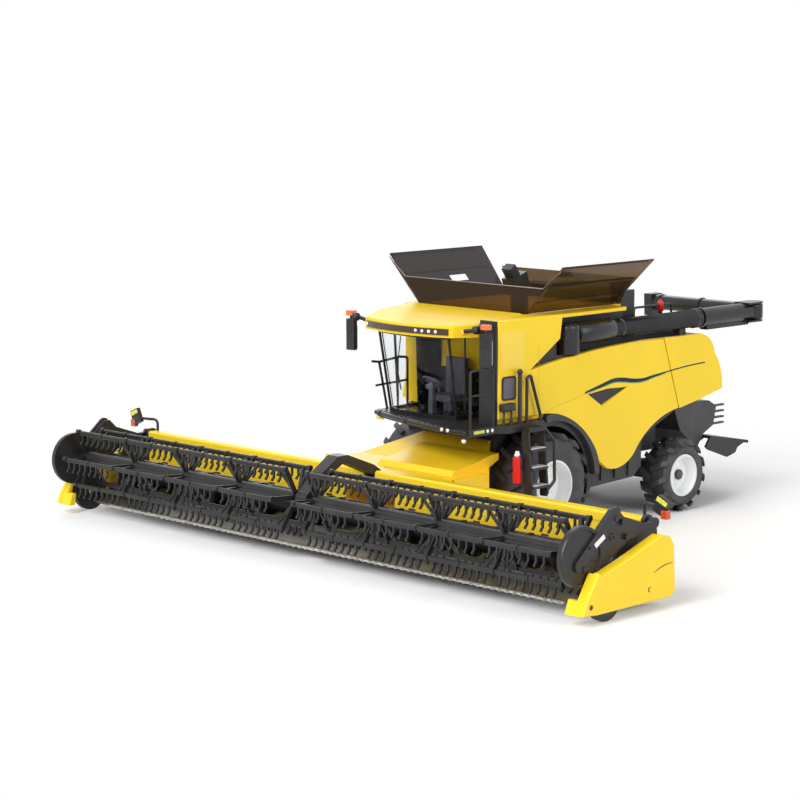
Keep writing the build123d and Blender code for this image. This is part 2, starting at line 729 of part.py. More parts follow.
RAIL_R = 0.7
RAIL_X = 52.0
FAR_RAIL_X = -35.0
GRIP_X = 56.0
with BuildPart() as cab_rails:
    add(rod([(RAIL_X, -83.2, DECK_Z), (RAIL_X, -83.2, 99), (RAIL_X, -65.2, 99),
             (RAIL_X, -65.2, DECK_Z)], RAIL_R, 1.6))
    add(rod([(RAIL_X, -83.2, 85.7), (RAIL_X, -65.2, 85.7)], RAIL_R * 0.9, 1))
    add(rod([(GRIP_X, -48.8, DECK_Z), (GRIP_X, -48.8, 95.5)], 1.1, 1))
    with Locations((GRIP_X, -48.8, 96)):
        Sphere(1.6)
    add(rod([(GRIP_X, -43.2, DECK_Z), (GRIP_X, -43.2, 92), (GRIP_X, -40.4, 93.6),
             (GRIP_X, -32.2, 71), (GRIP_X, -32.2, DECK_Z)], 0.9, 1.2))
    add(rod([(FAR_RAIL_X, -59.0, DECK_Z), (FAR_RAIL_X, -65.2, 94.6)], RAIL_R, 1))
    add(rod([(FAR_RAIL_X, -70.6, 95.4), (FAR_RAIL_X, -65.2, 94.6), (FAR_RAIL_X, -50, 96.2),
             (FAR_RAIL_X, -43.2, 95.4), (FAR_RAIL_X, -43.2, DECK_Z)], RAIL_R, 1.6))
    add(rod([(FAR_RAIL_X, -67.6, 81.6), (FAR_RAIL_X, -62.2, 81.8), (FAR_RAIL_X, -43.2, 82.6)],
            RAIL_R * 0.9, 1))
    add(rod([(FAR_RAIL_X, -51, DECK_Z), (FAR_RAIL_X, -51, 96)], RAIL_R * 0.9, 1))
save(cab_rails, "cab_handrails")

# Boarding ladder ahead of the front wheel

LADDER_X = 58.0
LADDER_FRONT_Y = -49.0
LADDER_REAR_Y = -36.5
STEPS = 3
STEP_RISE = 10.0
STEP_TOP_Z = 54.0
with BuildPart() as ladder:
    for y in (LADDER_FRONT_Y, LADDER_REAR_Y):
        with BuildSketch(Plane.XZ.offset(-y)):
            with BuildLine():
                Polyline(
                    (LADDER_X, DECK_Z - DECK_T), (LADDER_X + 5, DECK_Z - DECK_T),
                    (LADDER_X + 8, 30), (LADDER_X + 7, 28), (LADDER_X + 2.5, 28), close=True,
                )
            make_face()
        extrude(amount=0.6, both=True)
    for step in range(STEPS):
        step_z = STEP_TOP_Z - step * STEP_RISE
        with Locations((LADDER_X + 4 + step * 0.8, (LADDER_FRONT_Y + LADDER_REAR_Y) / 2, step_z)):
            Box(6, LADDER_REAR_Y - LADDER_FRONT_Y, 1.4)
    with Locations((LADDER_X + 3, (LADDER_FRONT_Y + LADDER_REAR_Y) / 2, DECK_Z - DECK_T + 1)):
        Box(6, LADDER_REAR_Y - LADDER_FRONT_Y + 1.2, 2)
    add(rod([(LADDER_X + 5, LADDER_REAR_Y, DECK_Z - DECK_T + 1),
             (LADDER_X + 7.6, LADDER_REAR_Y + 5, 58), (LADDER_X + 8, LADDER_REAR_Y + 5, 36),
             (LADDER_X + 7, LADDER_REAR_Y, 31)], 0.9, 3))
save(ladder, "boarding_ladder")

with BuildPart() as extinguisher:
    with BuildSketch(Plane.XY.offset(36.5)):
        with Locations((LADDER_X - 0.5, LADDER_FRONT_Y - 3.2)):
            Circle(2.4)
    extrude(amount=14.5)
    fillet(extinguisher.edges().filter_by(GeomType.CIRCLE).group_by(Axis.Z)[-1], 1.2)
    with BuildSketch(Plane.XY.offset(51.0)):
        with Locations((LADDER_X - 0.5, LADDER_FRONT_Y - 3.2)):
            Circle(1.1)
    extrude(amount=2.6)
save(extinguisher, "fire_extinguisher")

# Mirrors on arms from the roof's front corners

with BuildPart() as mirrors:
    for side in (1, -1):
        with BuildSketch(Plane.XY.offset(100.5)):
            with Locations((side * 51.5, -70.5)):
                RectangleRounded(6.5, 4, 1.5)
        extrude(amount=17.5)
        add(rod([(side * 36.6, -71.6, 118), (side * 46, -70.8, 119.4), (side * 51.5, -70.5, 119.4),
                 (side * 51.5, -70.5, 117)], 1.1, 0.9))
        with Locations((side * 51.5, -70.8, 121.2)):
            Box(5, 3.6, 2.8)
save(mirrors, "cab_mirrors")

# Tank extension: fixed front and rear panels, hinged side flaps


def end_panel(y, top_z, ears):
    with BuildPart() as plate:
        with BuildSketch(Plane(origin=(0, y, 0), x_dir=(1, 0, 0), z_dir=(0, -1, 0))):
            with BuildLine():
                if ears:
                    Polyline(
                        (-TANK_HALF, TANK_TOP_Z), (TANK_HALF, TANK_TOP_Z), (65.5, 149.3),
                        (52.6, top_z), (-52.6, top_z), (-65.5, 149.3), close=True,
                    )
                else:
                    Polyline(
                        (-TANK_HALF + 1, TANK_TOP_Z), (TANK_HALF - 1, TANK_TOP_Z), (50, top_z),
                        (-50, top_z), close=True,
                    )
            make_face()
        extrude(amount=FLAP_T)
    return plate


with BuildPart() as end_panels:
    add(end_panel(FLAP_FRONT_Y - 0.4, FRONT_PANEL_TOP_Z, True).part)
    add(end_panel(TANK_REAR_Y, FRONT_PANEL_TOP_Z + 1.3, False).part)
save(end_panels, "tank_end_panels")

for side, tag in ((1, "left"), (-1, "right")):
    slope = (side * cos(radians(FLAP_ANGLE)), 0, sin(radians(FLAP_ANGLE)))
    normal = (slope[2], 0, -slope[0])
    flap_plane = Plane(
        origin=(side * FLAP_HINGE_X, 0, FLAP_HINGE_Z), x_dir=(0, 1, 0), z_dir=normal
    )
    with BuildPart() as flap:
        with BuildSketch(flap_plane):
            with BuildLine():
                Polyline(
                    (FLAP_FRONT_Y, 0), (FLAP_REAR_LOW_Y, 0), (FLAP_REAR_LOW_Y + 1.5, 12.5),
                    (FLAP_REAR_TOP_Y, FLAP_SLANT), (FLAP_FRONT_Y, FLAP_SLANT), close=True,
                )
            make_face()
            if side < 0:
                with Locations((15.8, 14.0)):
                    Rectangle(14.4, 5.0, mode=Mode.SUBTRACT)
        extrude(amount=FLAP_T / 2, both=True)
        with BuildSketch(flap_plane.offset(side * FLAP_T / 2)):
            for height in FLAP_RIBS:
                with Locations(((FLAP_FRONT_Y + FLAP_REAR_LOW_Y) / 2, height)):
                    Rectangle(FLAP_REAR_LOW_Y - FLAP_FRONT_Y - 2, 1.2)
        extrude(amount=side * 0.6)
        with BuildSketch(Plane.XZ.offset(-FLAP_FRONT_Y)):
            with Locations((side * FLAP_HINGE_X, FLAP_HINGE_Z)):
                Circle(0.9)
        extrude(amount=-(FLAP_REAR_LOW_Y - FLAP_FRONT_Y))
    save(flap, f"tank_flap_{tag}")

with BuildPart() as fill_auger:
    with BuildSketch(Plane(origin=(0, 12, CORE_TOP_Z + 3.1), z_dir=(0, 0, 1))):
        Circle(5)
    extrude(amount=30)
    with Locations(Location((0, 9, 136), (20, 0, 0))):
        Box(9, 12, 10)
    with Locations(Location((0, 5, 142), (35, 0, 0))):
        Box(7, 5, 9)
save(fill_auger, "tank_fill_auger")

# Unloading auger: turret, inner tube and the folded outer tube

with BuildPart() as unload_inner:
    with BuildSketch(Plane.XY.offset(CORE_TOP_Z + 0.3)):
        with Locations((AUGER_X, TURRET_Y)):
            Circle(TURRET_R)
    extrude(amount=AUGER_Z + TUBE_R + 1.5 - CORE_TOP_Z - 0.3)
    fillet(unload_inner.edges().filter_by(GeomType.CIRCLE).group_by(Axis.Z)[-1], 2.5)
    tube_plane = Plane(origin=(AUGER_X, TURRET_Y, AUGER_Z), x_dir=(1, 0, 0), z_dir=(0, 1, 0))
    with BuildSketch(tube_plane):
        Circle(TUBE_R)
    extrude(amount=TUBE_STEP_Y - TURRET_Y)
    for collar_y, collar_r in ((40, 5.2), (TUBE_STEP_Y, OUTER_TUBE_R + 0.5)):
        with BuildSketch(Plane(origin=(AUGER_X, collar_y, AUGER_Z), z_dir=(0, 1, 0))):
            Circle(collar_r)
        extrude(amount=2.0)
    with BuildSketch(Plane(origin=(AUGER_X, TUBE_STEP_Y, AUGER_Z), z_dir=(0, 1, 0))):
        Circle(OUTER_TUBE_R)
    extrude(amount=FOLD_Y - FOLD_R - 0.6 - TUBE_STEP_Y)
    with Locations((AUGER_X, 138, AUGER_Z - OUTER_TUBE_R - 0.6)):
        Box(5, 40, 2.6)
    for low in (AUGER_Z - OUTER_TUBE_R - 0.5, AUGER_Z + OUTER_TUBE_R - 0.5):
        with BuildSketch(Plane.XY.offset(low)):
            with Locations((AUGER_X, FOLD_Y)):
                Circle(FOLD_R)
            with Locations((AUGER_X, FOLD_Y - FOLD_R)):
                Rectangle(2 * FOLD_R, 2 * FOLD_R)
        extrude(amount=1.0)
    with BuildSketch(Plane.XY.offset(AUGER_Z - OUTER_TUBE_R)):
        with Locations((AUGER_X, FOLD_Y)):
            Circle(1.4)
    extrude(amount=2 * OUTER_TUBE_R)
save(unload_inner, "unloading_auger_inner")

with BuildPart() as unload_outer:
    with BuildSketch(Plane.XY.offset(AUGER_Z - OUTER_TUBE_R + 0.8)):
        with Locations((AUGER_X, FOLD_Y)):
            Circle(FOLD_R)
    extrude(amount=2 * OUTER_TUBE_R - 1.6)
    fillet(unload_outer.edges().filter_by(GeomType.CIRCLE), 1.2)
    with BuildSketch(side_plane(AUGER_X, FOLD_Y, AUGER_Z)):
        Circle(CROSS_TUBE_R - 0.6)
    extrude(amount=CROSS_END_X - AUGER_X)
    for collar_x in (AUGER_X - 9, AUGER_X - 38, CROSS_END_X + 6):
        with BuildSketch(side_plane(collar_x, FOLD_Y, AUGER_Z)):
            Circle(CROSS_TUBE_R)
        extrude(amount=-1.6)
    with BuildSketch(side_plane(CROSS_END_X - 5, FOLD_Y, AUGER_Z)):
        with BuildLine():
            Polyline(
                (-CROSS_TUBE_R, CROSS_TUBE_R), (CROSS_TUBE_R, CROSS_TUBE_R),
                (CROSS_TUBE_R - 0.6, -CROSS_TUBE_R - 3), (0.6 - CROSS_TUBE_R, -CROSS_TUBE_R - 3),
                close=True,
            )
        make_face()
    extrude(amount=6)
    add(cross_hole(Plane.XY.move(Location((AUGER_X, FOLD_Y, AUGER_Z))), 1.4 + RUN_GAP, 40),
        mode=Mode.SUBTRACT)
save(unload_outer, "unloading_auger_outer")

with BuildPart() as deck_rails:
    for x in (-36, 36):
        add(rod([(x, 70, CORE_TOP_Z + DECK_RISE), (x, 70, 120), (x, 104, 120),
                 (x, 104, CORE_TOP_Z + DECK_RISE)], 0.7, 2))
save(deck_rails, "deck_handrails")

# Chopper, its tines and the spreader board

with BuildPart() as chopper:
    with BuildSketch(Plane.YZ):
        with BuildLine():
            Polyline(
                (104, CORE_LOW_Z - 0.2), (126, 69.2), (128, 60), (139, 59.4), (146, 55.6),
                (143.5, 44.3), (134, 40), (128, 32), (112, 44), close=True,
            )
        make_face()
    extrude(amount=38, both=True)
    with Locations(Plane(origin=(0, 146, 50), x_dir=(1, 0, 0), z_dir=(0, 1, 0))):
        with GridLocations(72, 3.6, 2, 4):
            Box(2.2, 1.1, 18)
save(chopper, "straw_chopper")

with BuildPart() as spreader:
    with BuildSketch(Plane.YZ):
        with BuildLine():
            Polyline((134, 39.2), (170.5, 32.6), (170.5, 30.8), (134, 37.4), close=True)
        make_face()
    extrude(amount=44, both=True)
    for x in (-44, -15, 13.5, 42.5):
        with BuildSketch(side_plane(x)):
            with BuildLine():
                Polyline((133.9, 39.2), (168, 32.4), (160, 29.5), (158, 26.5), (150, 24.6),
                         (132, 31), (129.2, 33), close=True)
            make_face()
        extrude(amount=1.5)
save(spreader, "spreader_board")

# Feeder house with its flared hood

with BuildPart() as feeder:
    with BuildSketch(Plane.YZ):
        with BuildLine():
            Polyline(
                (-104.4, 10), (-104.4, 37), (-64, 40), (-40.5, 54), (-36, 54), (-32.6, 50),
                (-34, 42),
                (-52, 26), (-90, 9.5), close=True,
            )
        make_face()
    extrude(amount=FEEDER_HALF, both=True)
    with BuildSketch(Plane(origin=(0, -99.5, 0), x_dir=(1, 0, 0), z_dir=(0, 1, 0))):
        with Locations((0, -(24 + SHELF_Z) / 2)):
            Rectangle(2 * HOOD_HALF, SHELF_Z - 24)
    extrude(amount=99.5 - 65)
    fillet(feeder.edges().filter_by(Axis.X).group_by(Axis.Z)[-1].sort_by(Axis.Y)[0], 1.6)
    with BuildSketch(Plane(origin=(0, -65, 0), x_dir=(1, 0, 0), z_dir=(0, 1, 0))):
        with Locations((0, -(31 + SHELF_Z) / 2)):
            Rectangle(2 * HOOD_HALF, SHELF_Z - 31)
    with BuildSketch(Plane(origin=(0, -40.5, 0), x_dir=(1, 0, 0), z_dir=(0, 1, 0))):
        with Locations((0, -52)):
            Rectangle(2 * FEEDER_HALF, 4)
    loft()
    with BuildSketch(side_plane(-14)):
        with BuildLine():
            Polyline(
                (-87, SHELF_Z - 0.1), (-84.5, 44.8), (-68, 47.2), (-57, 49.8), (-50, 50.4),
                (-50, 47), (-65, 40), close=True,
            )
        make_face()
    extrude(amount=56)
    for slot_x, slot_y in ((0.5, -91), (19.5, -91), (44, -92.5)):
        with Locations((slot_x, slot_y, SHELF_Z)):
            Box(10, 2.6, 2.0, mode=Mode.SUBTRACT)
    with BuildSketch(side_plane(0, FEEDER_PIVOT_Y, FEEDER_PIVOT_Z)):
        Circle(FEEDER_PIN_R + RUN_GAP)
    extrude(amount=28, both=True, mode=Mode.SUBTRACT)
    with Locations((0, -92, 23)):
        Box(38, 25, 18, mode=Mode.SUBTRACT)
save(feeder, "feeder_house")

# Header trough: beam, back wall, rounded trough and table in one profile

TROUGH_R = INTAKE_R + 1.0
WALL_BACK_Y = INTAKE_Y + TROUGH_R + WALL_T - 0.05
REAR_RIBS = 6
REAR_RIB_PITCH = 26.8
MID_ARM_T = 8.0
PIN_R = 1.5
with BuildPart() as header:
    with BuildSketch(Plane.YZ):
        with BuildLine():
            Polyline(
                (KNIFE_Y - 0.5, KNIFE_Z + KNIFE_T), (-128, 9.5), (INTAKE_Y, INTAKE_Z),
                (INTAKE_Y + TROUGH_R, INTAKE_Z), (INTAKE_Y + TROUGH_R, BEAM_Z),
                (BEAM_Y, BEAM_Z), (BEAM_Y, BEAM_Z + BEAM_H - 1), (BEAM_Y + 1, BEAM_Z + BEAM_H),
                (BEAM_Y + BEAM_D - 1, BEAM_Z + BEAM_H),
                (BEAM_Y + BEAM_D, BEAM_Z + BEAM_H - 1), (BEAM_Y + BEAM_D, BEAM_Z),
                (INTAKE_Y + TROUGH_R + WALL_T, BEAM_Z), (INTAKE_Y + TROUGH_R + WALL_T, 10),
                (-112, 6.2), (KNIFE_Y - 0.5, KNIFE_Z - 0.4), close=True,
            )
        make_face()
        with Locations((INTAKE_Y, INTAKE_Z)):
            Circle(TROUGH_R, mode=Mode.SUBTRACT)
    extrude(amount=SHEET_X - 0.1, both=True)
    with Locations((0, -104, 23)):
        Box(38, 8, 18, mode=Mode.SUBTRACT)
    with Locations((0, BEAM_Y + BEAM_D / 2, BEAM_Z + 6)):
        Box(MID_ARM_T + 0.8, BEAM_D + 2, 12.2, mode=Mode.SUBTRACT)
    with BuildSketch(side_plane(0, REEL_PIVOT_Y, REEL_PIVOT_Z)):
        Circle(PIN_R)
    extrude(amount=MID_ARM_T / 2 + 1, both=True)
    for side in (1, -1):
        with BuildSketch(side_plane(side * (HOOD_HALF + 1.5), WALL_BACK_Y)):
            with Locations((1.5, 31.5), (1.5, 12.0)):
                Rectangle(3.1, 3.4)
        extrude(amount=side * (SHEET_X - 0.1 - HOOD_HALF - 1.5))
        for rib in range(REAR_RIBS):
            rib_x = side * (HOOD_HALF + 2.5 + rib * REAR_RIB_PITCH)
            with Locations((rib_x, WALL_BACK_Y + 1.2, 21.8)):
                Box(2, 2.5, 17)
save(header, "header_trough")

# End sheets of the trough, which carry the beam, the intake auger and the reel pivots

SHEET_EAR_R = 3.4
with BuildPart() as end_sheets:
    for side in (1, -1):
        with BuildSketch(side_plane(side * SHEET_X)):
            with BuildLine():
                Polyline(
                    (KNIFE_Y, 5.0), (KNIFE_Y, 8.0), (-128.5, 14), (-127, 30), (-123, 37.5),
                    (-108, 40.0), (REEL_PIVOT_Y, REEL_PIVOT_Z), (-98, 39.0), (-97, 36.0),
                    (-97, 8), (-102, 5.0), close=True,
                )
            make_face()
            with Locations((REEL_PIVOT_Y, REEL_PIVOT_Z)):
                Circle(SHEET_EAR_R)
            with Locations((REEL_PIVOT_Y, REEL_PIVOT_Z)):
                Circle(PIN_R + RUN_GAP, mode=Mode.SUBTRACT)
            with Locations((INTAKE_Y, INTAKE_Z)):
                Circle(AXLE_R + RUN_GAP, mode=Mode.SUBTRACT)
        extrude(amount=side * SHEET_T)
save(end_sheets, "header_end_sheets")

# Crop dividers outside the end sheets, each with an inward flange and a toe

TOE_X = 190.0
FLANGE_X = 195.4
for side, tag in ((1, "left"), (-1, "right")):
    with BuildPart() as divider:
        with BuildSketch(side_plane(side * DIVIDER_X)):
            with BuildLine():
                Polyline(
                    (-164.8, 5.9), (-162.1, 12.1), (-153.8, 25.0), (-150.1, 23.5),
                    (-132.8, 28.5), (-129.2, 29.6), (-106.9, 36.8), (-100.8, 35.0),
                    (-98.0, 30.1), (-96.7, 8.0), (-100.0, 5.2), (-154.1, 5.0), close=True,
                )
            make_face()
            with Locations((-116.1, 11.4)):
                Circle(1.2, mode=Mode.SUBTRACT)
            with Locations((-159.2, 9.6)):
                Circle(0.9, mode=Mode.SUBTRACT)
        extrude(amount=side * DIVIDER_T)
        fillet(divider.faces().sort_by(Axis.X)[-1 if side > 0 else 0].outer_wire().edges(), 0.9)
        with BuildSketch(side_plane(side * TOE_X)):
            with BuildLine():
                Polyline((-164.4, 5.4), (-161.8, 12.2), (-159.6, 12.2), (-160.4, 5.4), close=True)
            make_face()
        extrude(amount=side * (DIVIDER_X - TOE_X + 0.2))
        with BuildSketch(side_plane(side * FLANGE_X)):
            with BuildLine():
                Polyline(
                    (-161.9, 11.6), (-153.9, 24.4), (-150.3, 23.2), (-132.9, 28.1),
                    (-107.0, 36.4), (-107.4, 34.6), (-133.2, 26.2), (-150.1, 21.4),
                    (-153.2, 22.2), (-159.8, 11.6), close=True,
                )
            make_face()
        extrude(amount=side * (DIVIDER_X - FLANGE_X + 0.2))
        with BuildSketch(side_plane(side * (SHEET_X + SHEET_T))):
            with Locations((-111, 22)):
                Rectangle(20, 10)
        extrude(amount=side * (DIVIDER_X - SHEET_X - SHEET_T))
        with BuildSketch(side_plane(side * DIVIDER_X, GAUGE_Y, GAUGE_R)):
            Circle(GAUGE_AXLE_R)
        extrude(amount=-side * (DIVIDER_X - GAUGE_X + GAUGE_W / 2))
    save(divider, f"crop_divider_{tag}")
    with BuildPart() as gauge_wheel:
        with BuildSketch(side_plane(side * GAUGE_X, GAUGE_Y, GAUGE_R)):
            Circle(GAUGE_R)
            Circle(GAUGE_AXLE_R + RUN_GAP, mode=Mode.SUBTRACT)
        extrude(amount=GAUGE_W / 2, both=True)
    save(gauge_wheel, f"gauge_wheel_{tag}")

# Knife: bar and guard fingers from one comb-shaped outline

FINGERS = int(2 * KNIFE_HALF / FINGER_PITCH)
with BuildPart() as knife:
    with BuildSketch(Plane.XY.offset(KNIFE_Z - 0.4)):
        with BuildLine():
            start_x = -FINGERS * FINGER_PITCH / 2
            edge = [(start_x, KNIFE_Y - 0.5), (start_x, KNIFE_Y - 2.2)]
            for finger in range(FINGERS):
                left_x = start_x + finger * FINGER_PITCH
                edge.append((left_x + 0.3 * FINGER_PITCH, KNIFE_Y - 2.2))
                edge.append((left_x + 0.5 * FINGER_PITCH, KNIFE_Y - FINGER_L))
                edge.append((left_x + 0.7 * FINGER_PITCH, KNIFE_Y - 2.2))
            edge.append((-start_x, KNIFE_Y - 2.2))
            edge.append((-start_x, KNIFE_Y - 0.5))
            Polyline(*edge, close=True)
        make_face()
    extrude(amount=KNIFE_T)
save(knife, "cutter_bar")

# Marker lamps on bent pipes at the header's ends

LAMP_X = 200.0
LAMP_Z = 50.4
LAMP_LEAN = 24.0
with BuildPart() as marker_lamps:
    for side in (1, -1):
        add(rod([(side * 186, -101.5, 43), (side * 186, -101.5, 49.5), (side * 199, -105.5, 49.5)],
                0.8, 2.6))
        with Locations(Location((side * LAMP_X, -105.9, LAMP_Z), (0, side * LAMP_LEAN, 0))):
            Box(6.8, 2.6, 8.6)
save(marker_lamps, "marker_lamps")

# Intake auger: drum with a row of slanted flights from each end to the middle

FLIGHTS = 8
FLIGHT_T = 0.9
with BuildPart() as intake:
    with BuildSketch(side_plane(0, INTAKE_Y, INTAKE_Z)):
        Circle(DRUM_R)
    extrude(amount=SHEET_X - 1.2, both=True)
    with BuildSketch(side_plane(0, INTAKE_Y, INTAKE_Z)):
        Circle(AXLE_R)
    extrude(amount=SHEET_X + SHEET_T - 0.2, both=True)
    for side in (1, -1):
        for index in range(FLIGHTS):
            flight_x = side * (24 + index * 20.5)
            lean = Plane(
                origin=(flight_x, INTAKE_Y, INTAKE_Z), x_dir=(0, 1, 0), z_dir=(1, 0, side * 0.42)
            )
            with BuildSketch(lean):
                Circle(INTAKE_R * 0.98)
            extrude(amount=FLIGHT_T / 2, both=True)
save(intake, "intake_auger")

# Reel halves: six bats with hanging tines on spiders round a tube

BAY_L = (REEL_OUT - REEL_IN) / BAYS
TINE_PITCH = (BAY_L - 5.0) / TINES_PER_BAY
SPIDER_T = 1.2


def reel_half(side):
    bats = [
        (
            REEL_Y + BAT_RING_R * cos(radians(BAT_PHASE + k * 360 / BAT_COUNT)),
            REEL_Z + BAT_RING_R * sin(radians(BAT_PHASE + k * 360 / BAT_COUNT)),
        )
        for k in range(BAT_COUNT)
    ]
    start = side * REEL_IN
    length = REEL_OUT - REEL_IN
    with BuildPart() as half:
        with BuildSketch(side_plane(start, REEL_Y, REEL_Z)):
            Circle(REEL_TUBE_R)
        extrude(amount=side * length)
        with BuildSketch(side_plane(start)):
            with Locations(*bats):
                Circle(BAT_R)
        extrude(amount=side * length)
        for bat_y, bat_z in bats:
            comb_plane = Plane(origin=(0, bat_y, bat_z), x_dir=(1, 0, 0), z_dir=(0, -1, 0))
            with BuildSketch(comb_plane):
                for bay in range(BAYS):
                    bay_x = side * (REEL_IN + (bay + 0.5) * BAY_L)
                    with Locations((bay_x, -0.9)):
                        Rectangle(BAY_L - 3.6, 1.6)
                    with Locations((bay_x, -TINE_L / 2)):
                        with GridLocations(TINE_PITCH, 0, TINES_PER_BAY, 1):
                            Rectangle(TINE_W, TINE_L)
            extrude(amount=TINE_T / 2, both=True)
            tip_plane = Plane(
                origin=(0, bat_y, bat_z - TINE_L + 0.2), x_dir=(1, 0, 0),
                z_dir=(0, -cos(radians(TIP_ANGLE)), sin(radians(TIP_ANGLE))),
            )
            with BuildSketch(tip_plane):
                for bay in range(BAYS):
                    with Locations((side * (REEL_IN + (bay + 0.5) * BAY_L), -TIP_L / 2)):
                        with GridLocations(TINE_PITCH, 0, TINES_PER_BAY, 1):
                            Rectangle(TINE_W, TIP_L)
            extrude(amount=TINE_T / 2, both=True)
        for station in range(BAYS + 1):
            spider_x = REEL_IN + station * BAY_L
            if station == BAYS:
                spider_x = spider_x - SPIDER_T
            with BuildSketch(side_plane(side * spider_x, REEL_Y, REEL_Z)):
                for k in range(BAT_COUNT // 2):
                    Rectangle(2 * BAT_RING_R, 2.6, rotation=BAT_PHASE + k * 60)
            extrude(amount=side * SPIDER_T)
    return half


save_pair(reel_half(1), "reel")

REEL_SHAFT_R = 1.6
with BuildPart() as reel_shaft:
    with BuildSketch(side_plane(0, REEL_Y, REEL_Z)):
        Circle(REEL_SHAFT_R)
    extrude(amount=REEL_IN, both=True)
    for side in (1, -1):
        with BuildSketch(side_plane(side * REEL_OUT, REEL_Y, REEL_Z)):
            Circle(REEL_SHAFT_R)
        extrude(amount=side * (SHIELD_X + 1.4 - REEL_OUT))
save(reel_shaft, "reel_shaft")

# Reel arms: each end arm carries a round shield, and one arm reaches the middle

ARM_T = 2.4
BAR_LIFT = 1.3
for side, tag in ((1, "left"), (-1, "right")):
    with BuildPart() as arm:
        with BuildSketch(side_plane(side * SHIELD_X)):
            with Locations((SHIELD_Y, SHIELD_Z)):
                Circle(SHIELD_R)
            with BuildLine():
                Polyline(
                    (-150, 40), (-136.5, 51.6), (-132.4, 52.0), (-127.6, 47.4), (-110, 41.4),
                    (REEL_PIVOT_Y, REEL_PIVOT_Z + 1.6), (REEL_PIVOT_Y, REEL_PIVOT_Z - 2.0),
                    (-124, 35.5), (-146, 23.5), close=True,
                )
            make_face()
            with Locations((REEL_PIVOT_Y, REEL_PIVOT_Z)):
                Circle(PIVOT_HUB_R)
        extrude(amount=side * ARM_T)
        with BuildSketch(side_plane(side * (SHIELD_X + ARM_T - 0.2), SHIELD_Y, SHIELD_Z)):
            Circle(SHIELD_R)
            Circle(SHIELD_R - 2.2, mode=Mode.SUBTRACT)
        extrude(amount=side * 0.9, taper=20)
        with BuildSketch(side_plane(side * (SHIELD_X + ARM_T - 0.2), -147.5, 39.2)):
            SlotOverall(40, 6.4, rotation=40)
        extrude(amount=side * (BAR_LIFT + 0.2))
        for boss_y, boss_z in ((-134.4, 47.6), (-129.6, 45.2), (-157, 26.5), (-126.5, 37.6)):
            with BuildSketch(side_plane(side * (SHIELD_X + ARM_T - 0.2), boss_y, boss_z)):
                RegularPolygon(1.5, 6)
            extrude(amount=side * (BAR_LIFT + 0.7))
        with BuildSketch(side_plane(side * SHIELD_X, REEL_Y, REEL_Z)):
            Circle(REEL_SHAFT_R + RUN_GAP)
        extrude(amount=side * 1.6, mode=Mode.SUBTRACT)
        with BuildSketch(side_plane(side * SHIELD_X, REEL_PIVOT_Y, REEL_PIVOT_Z)):
            Circle(PIN_R)
        extrude(amount=-side * (SHIELD_X - SHEET_X - 0.2))
    save(arm, f"reel_arm_{tag}")

with BuildPart() as mid_arm:
    with BuildSketch(Plane.YZ):
        with BuildLine():
            Polyline(
                (REEL_PIVOT_Y, REEL_PIVOT_Z - 1.6), (REEL_PIVOT_Y + 1.6, REEL_PIVOT_Z + 1.8),
                (-107, 46.4), (-126.5, 54.0), (-133.5, 54.0), (-145.0, 46.6), (-155.0, 37.0),
                (-157.0, REEL_Z), (-148.0, REEL_Z), (-147.0, 38.2), (-139.5, 44.4),
                (-131.0, 49.4), (-127.4, 49.4), (-110.0, 42.0), close=True,
            )
        make_face()
        with Locations((REEL_Y, REEL_Z)):
            Circle(5.0)
            Circle(REEL_SHAFT_R + RUN_GAP, mode=Mode.SUBTRACT)
        with Locations((REEL_PIVOT_Y, REEL_PIVOT_Z)):
            Circle(PIVOT_HUB_R)
            Circle(PIN_R + RUN_GAP, mode=Mode.SUBTRACT)
    extrude(amount=MID_ARM_T / 2, both=True)
save(mid_arm, "reel_arm_middle")
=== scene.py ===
import math

import bmesh
import bpy
from mathutils import Matrix, Vector


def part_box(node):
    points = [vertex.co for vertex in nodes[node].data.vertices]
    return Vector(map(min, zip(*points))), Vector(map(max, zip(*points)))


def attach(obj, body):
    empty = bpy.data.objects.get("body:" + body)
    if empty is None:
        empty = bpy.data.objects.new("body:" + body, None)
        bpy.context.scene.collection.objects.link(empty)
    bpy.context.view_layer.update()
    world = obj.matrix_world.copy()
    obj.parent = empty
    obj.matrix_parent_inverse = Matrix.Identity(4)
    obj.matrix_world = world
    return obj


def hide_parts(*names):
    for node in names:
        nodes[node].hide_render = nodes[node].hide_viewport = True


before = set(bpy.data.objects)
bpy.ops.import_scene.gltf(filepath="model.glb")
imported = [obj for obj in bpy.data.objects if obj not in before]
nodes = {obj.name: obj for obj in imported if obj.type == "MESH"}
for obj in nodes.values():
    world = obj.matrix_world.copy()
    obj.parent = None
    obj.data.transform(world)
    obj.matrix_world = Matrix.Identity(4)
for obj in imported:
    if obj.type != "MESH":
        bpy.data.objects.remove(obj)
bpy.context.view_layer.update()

MM = 0.001


def mm(*values):
    return tuple(v * MM for v in values)


def limits(node):
    """A node's lowest and highest corner at rest, in millimetres."""
    low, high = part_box(node)
    return tuple(v / MM for v in low), tuple(v / MM for v in high)


# Materials


def new_material(name, color, roughness, metallic=0.0, coat=0.0, specular=0.5):
    """A principled material with its constants on the shader's own sockets."""
    material = bpy.data.materials.new(name)
    material.use_nodes = True
    shader = material.node_tree.nodes["Principled BSDF"]
    shader.inputs["Base Color"].default_value = (*color, 1)
    shader.inputs["Roughness"].default_value = roughness
    shader.inputs["Metallic"].default_value = metallic
    shader.inputs["Coat Weight"].default_value = coat
    shader.inputs["Coat Roughness"].default_value = 0.08
    shader.inputs["Specular IOR Level"].default_value = specular
    return material


def object_coordinates(material):
    tree = material.node_tree
    found = tree.nodes.get("Object Coordinates")
    if found is None:
        found = tree.nodes.new("ShaderNodeTexCoord")
        found.name = "Object Coordinates"
    return found.outputs["Object"]


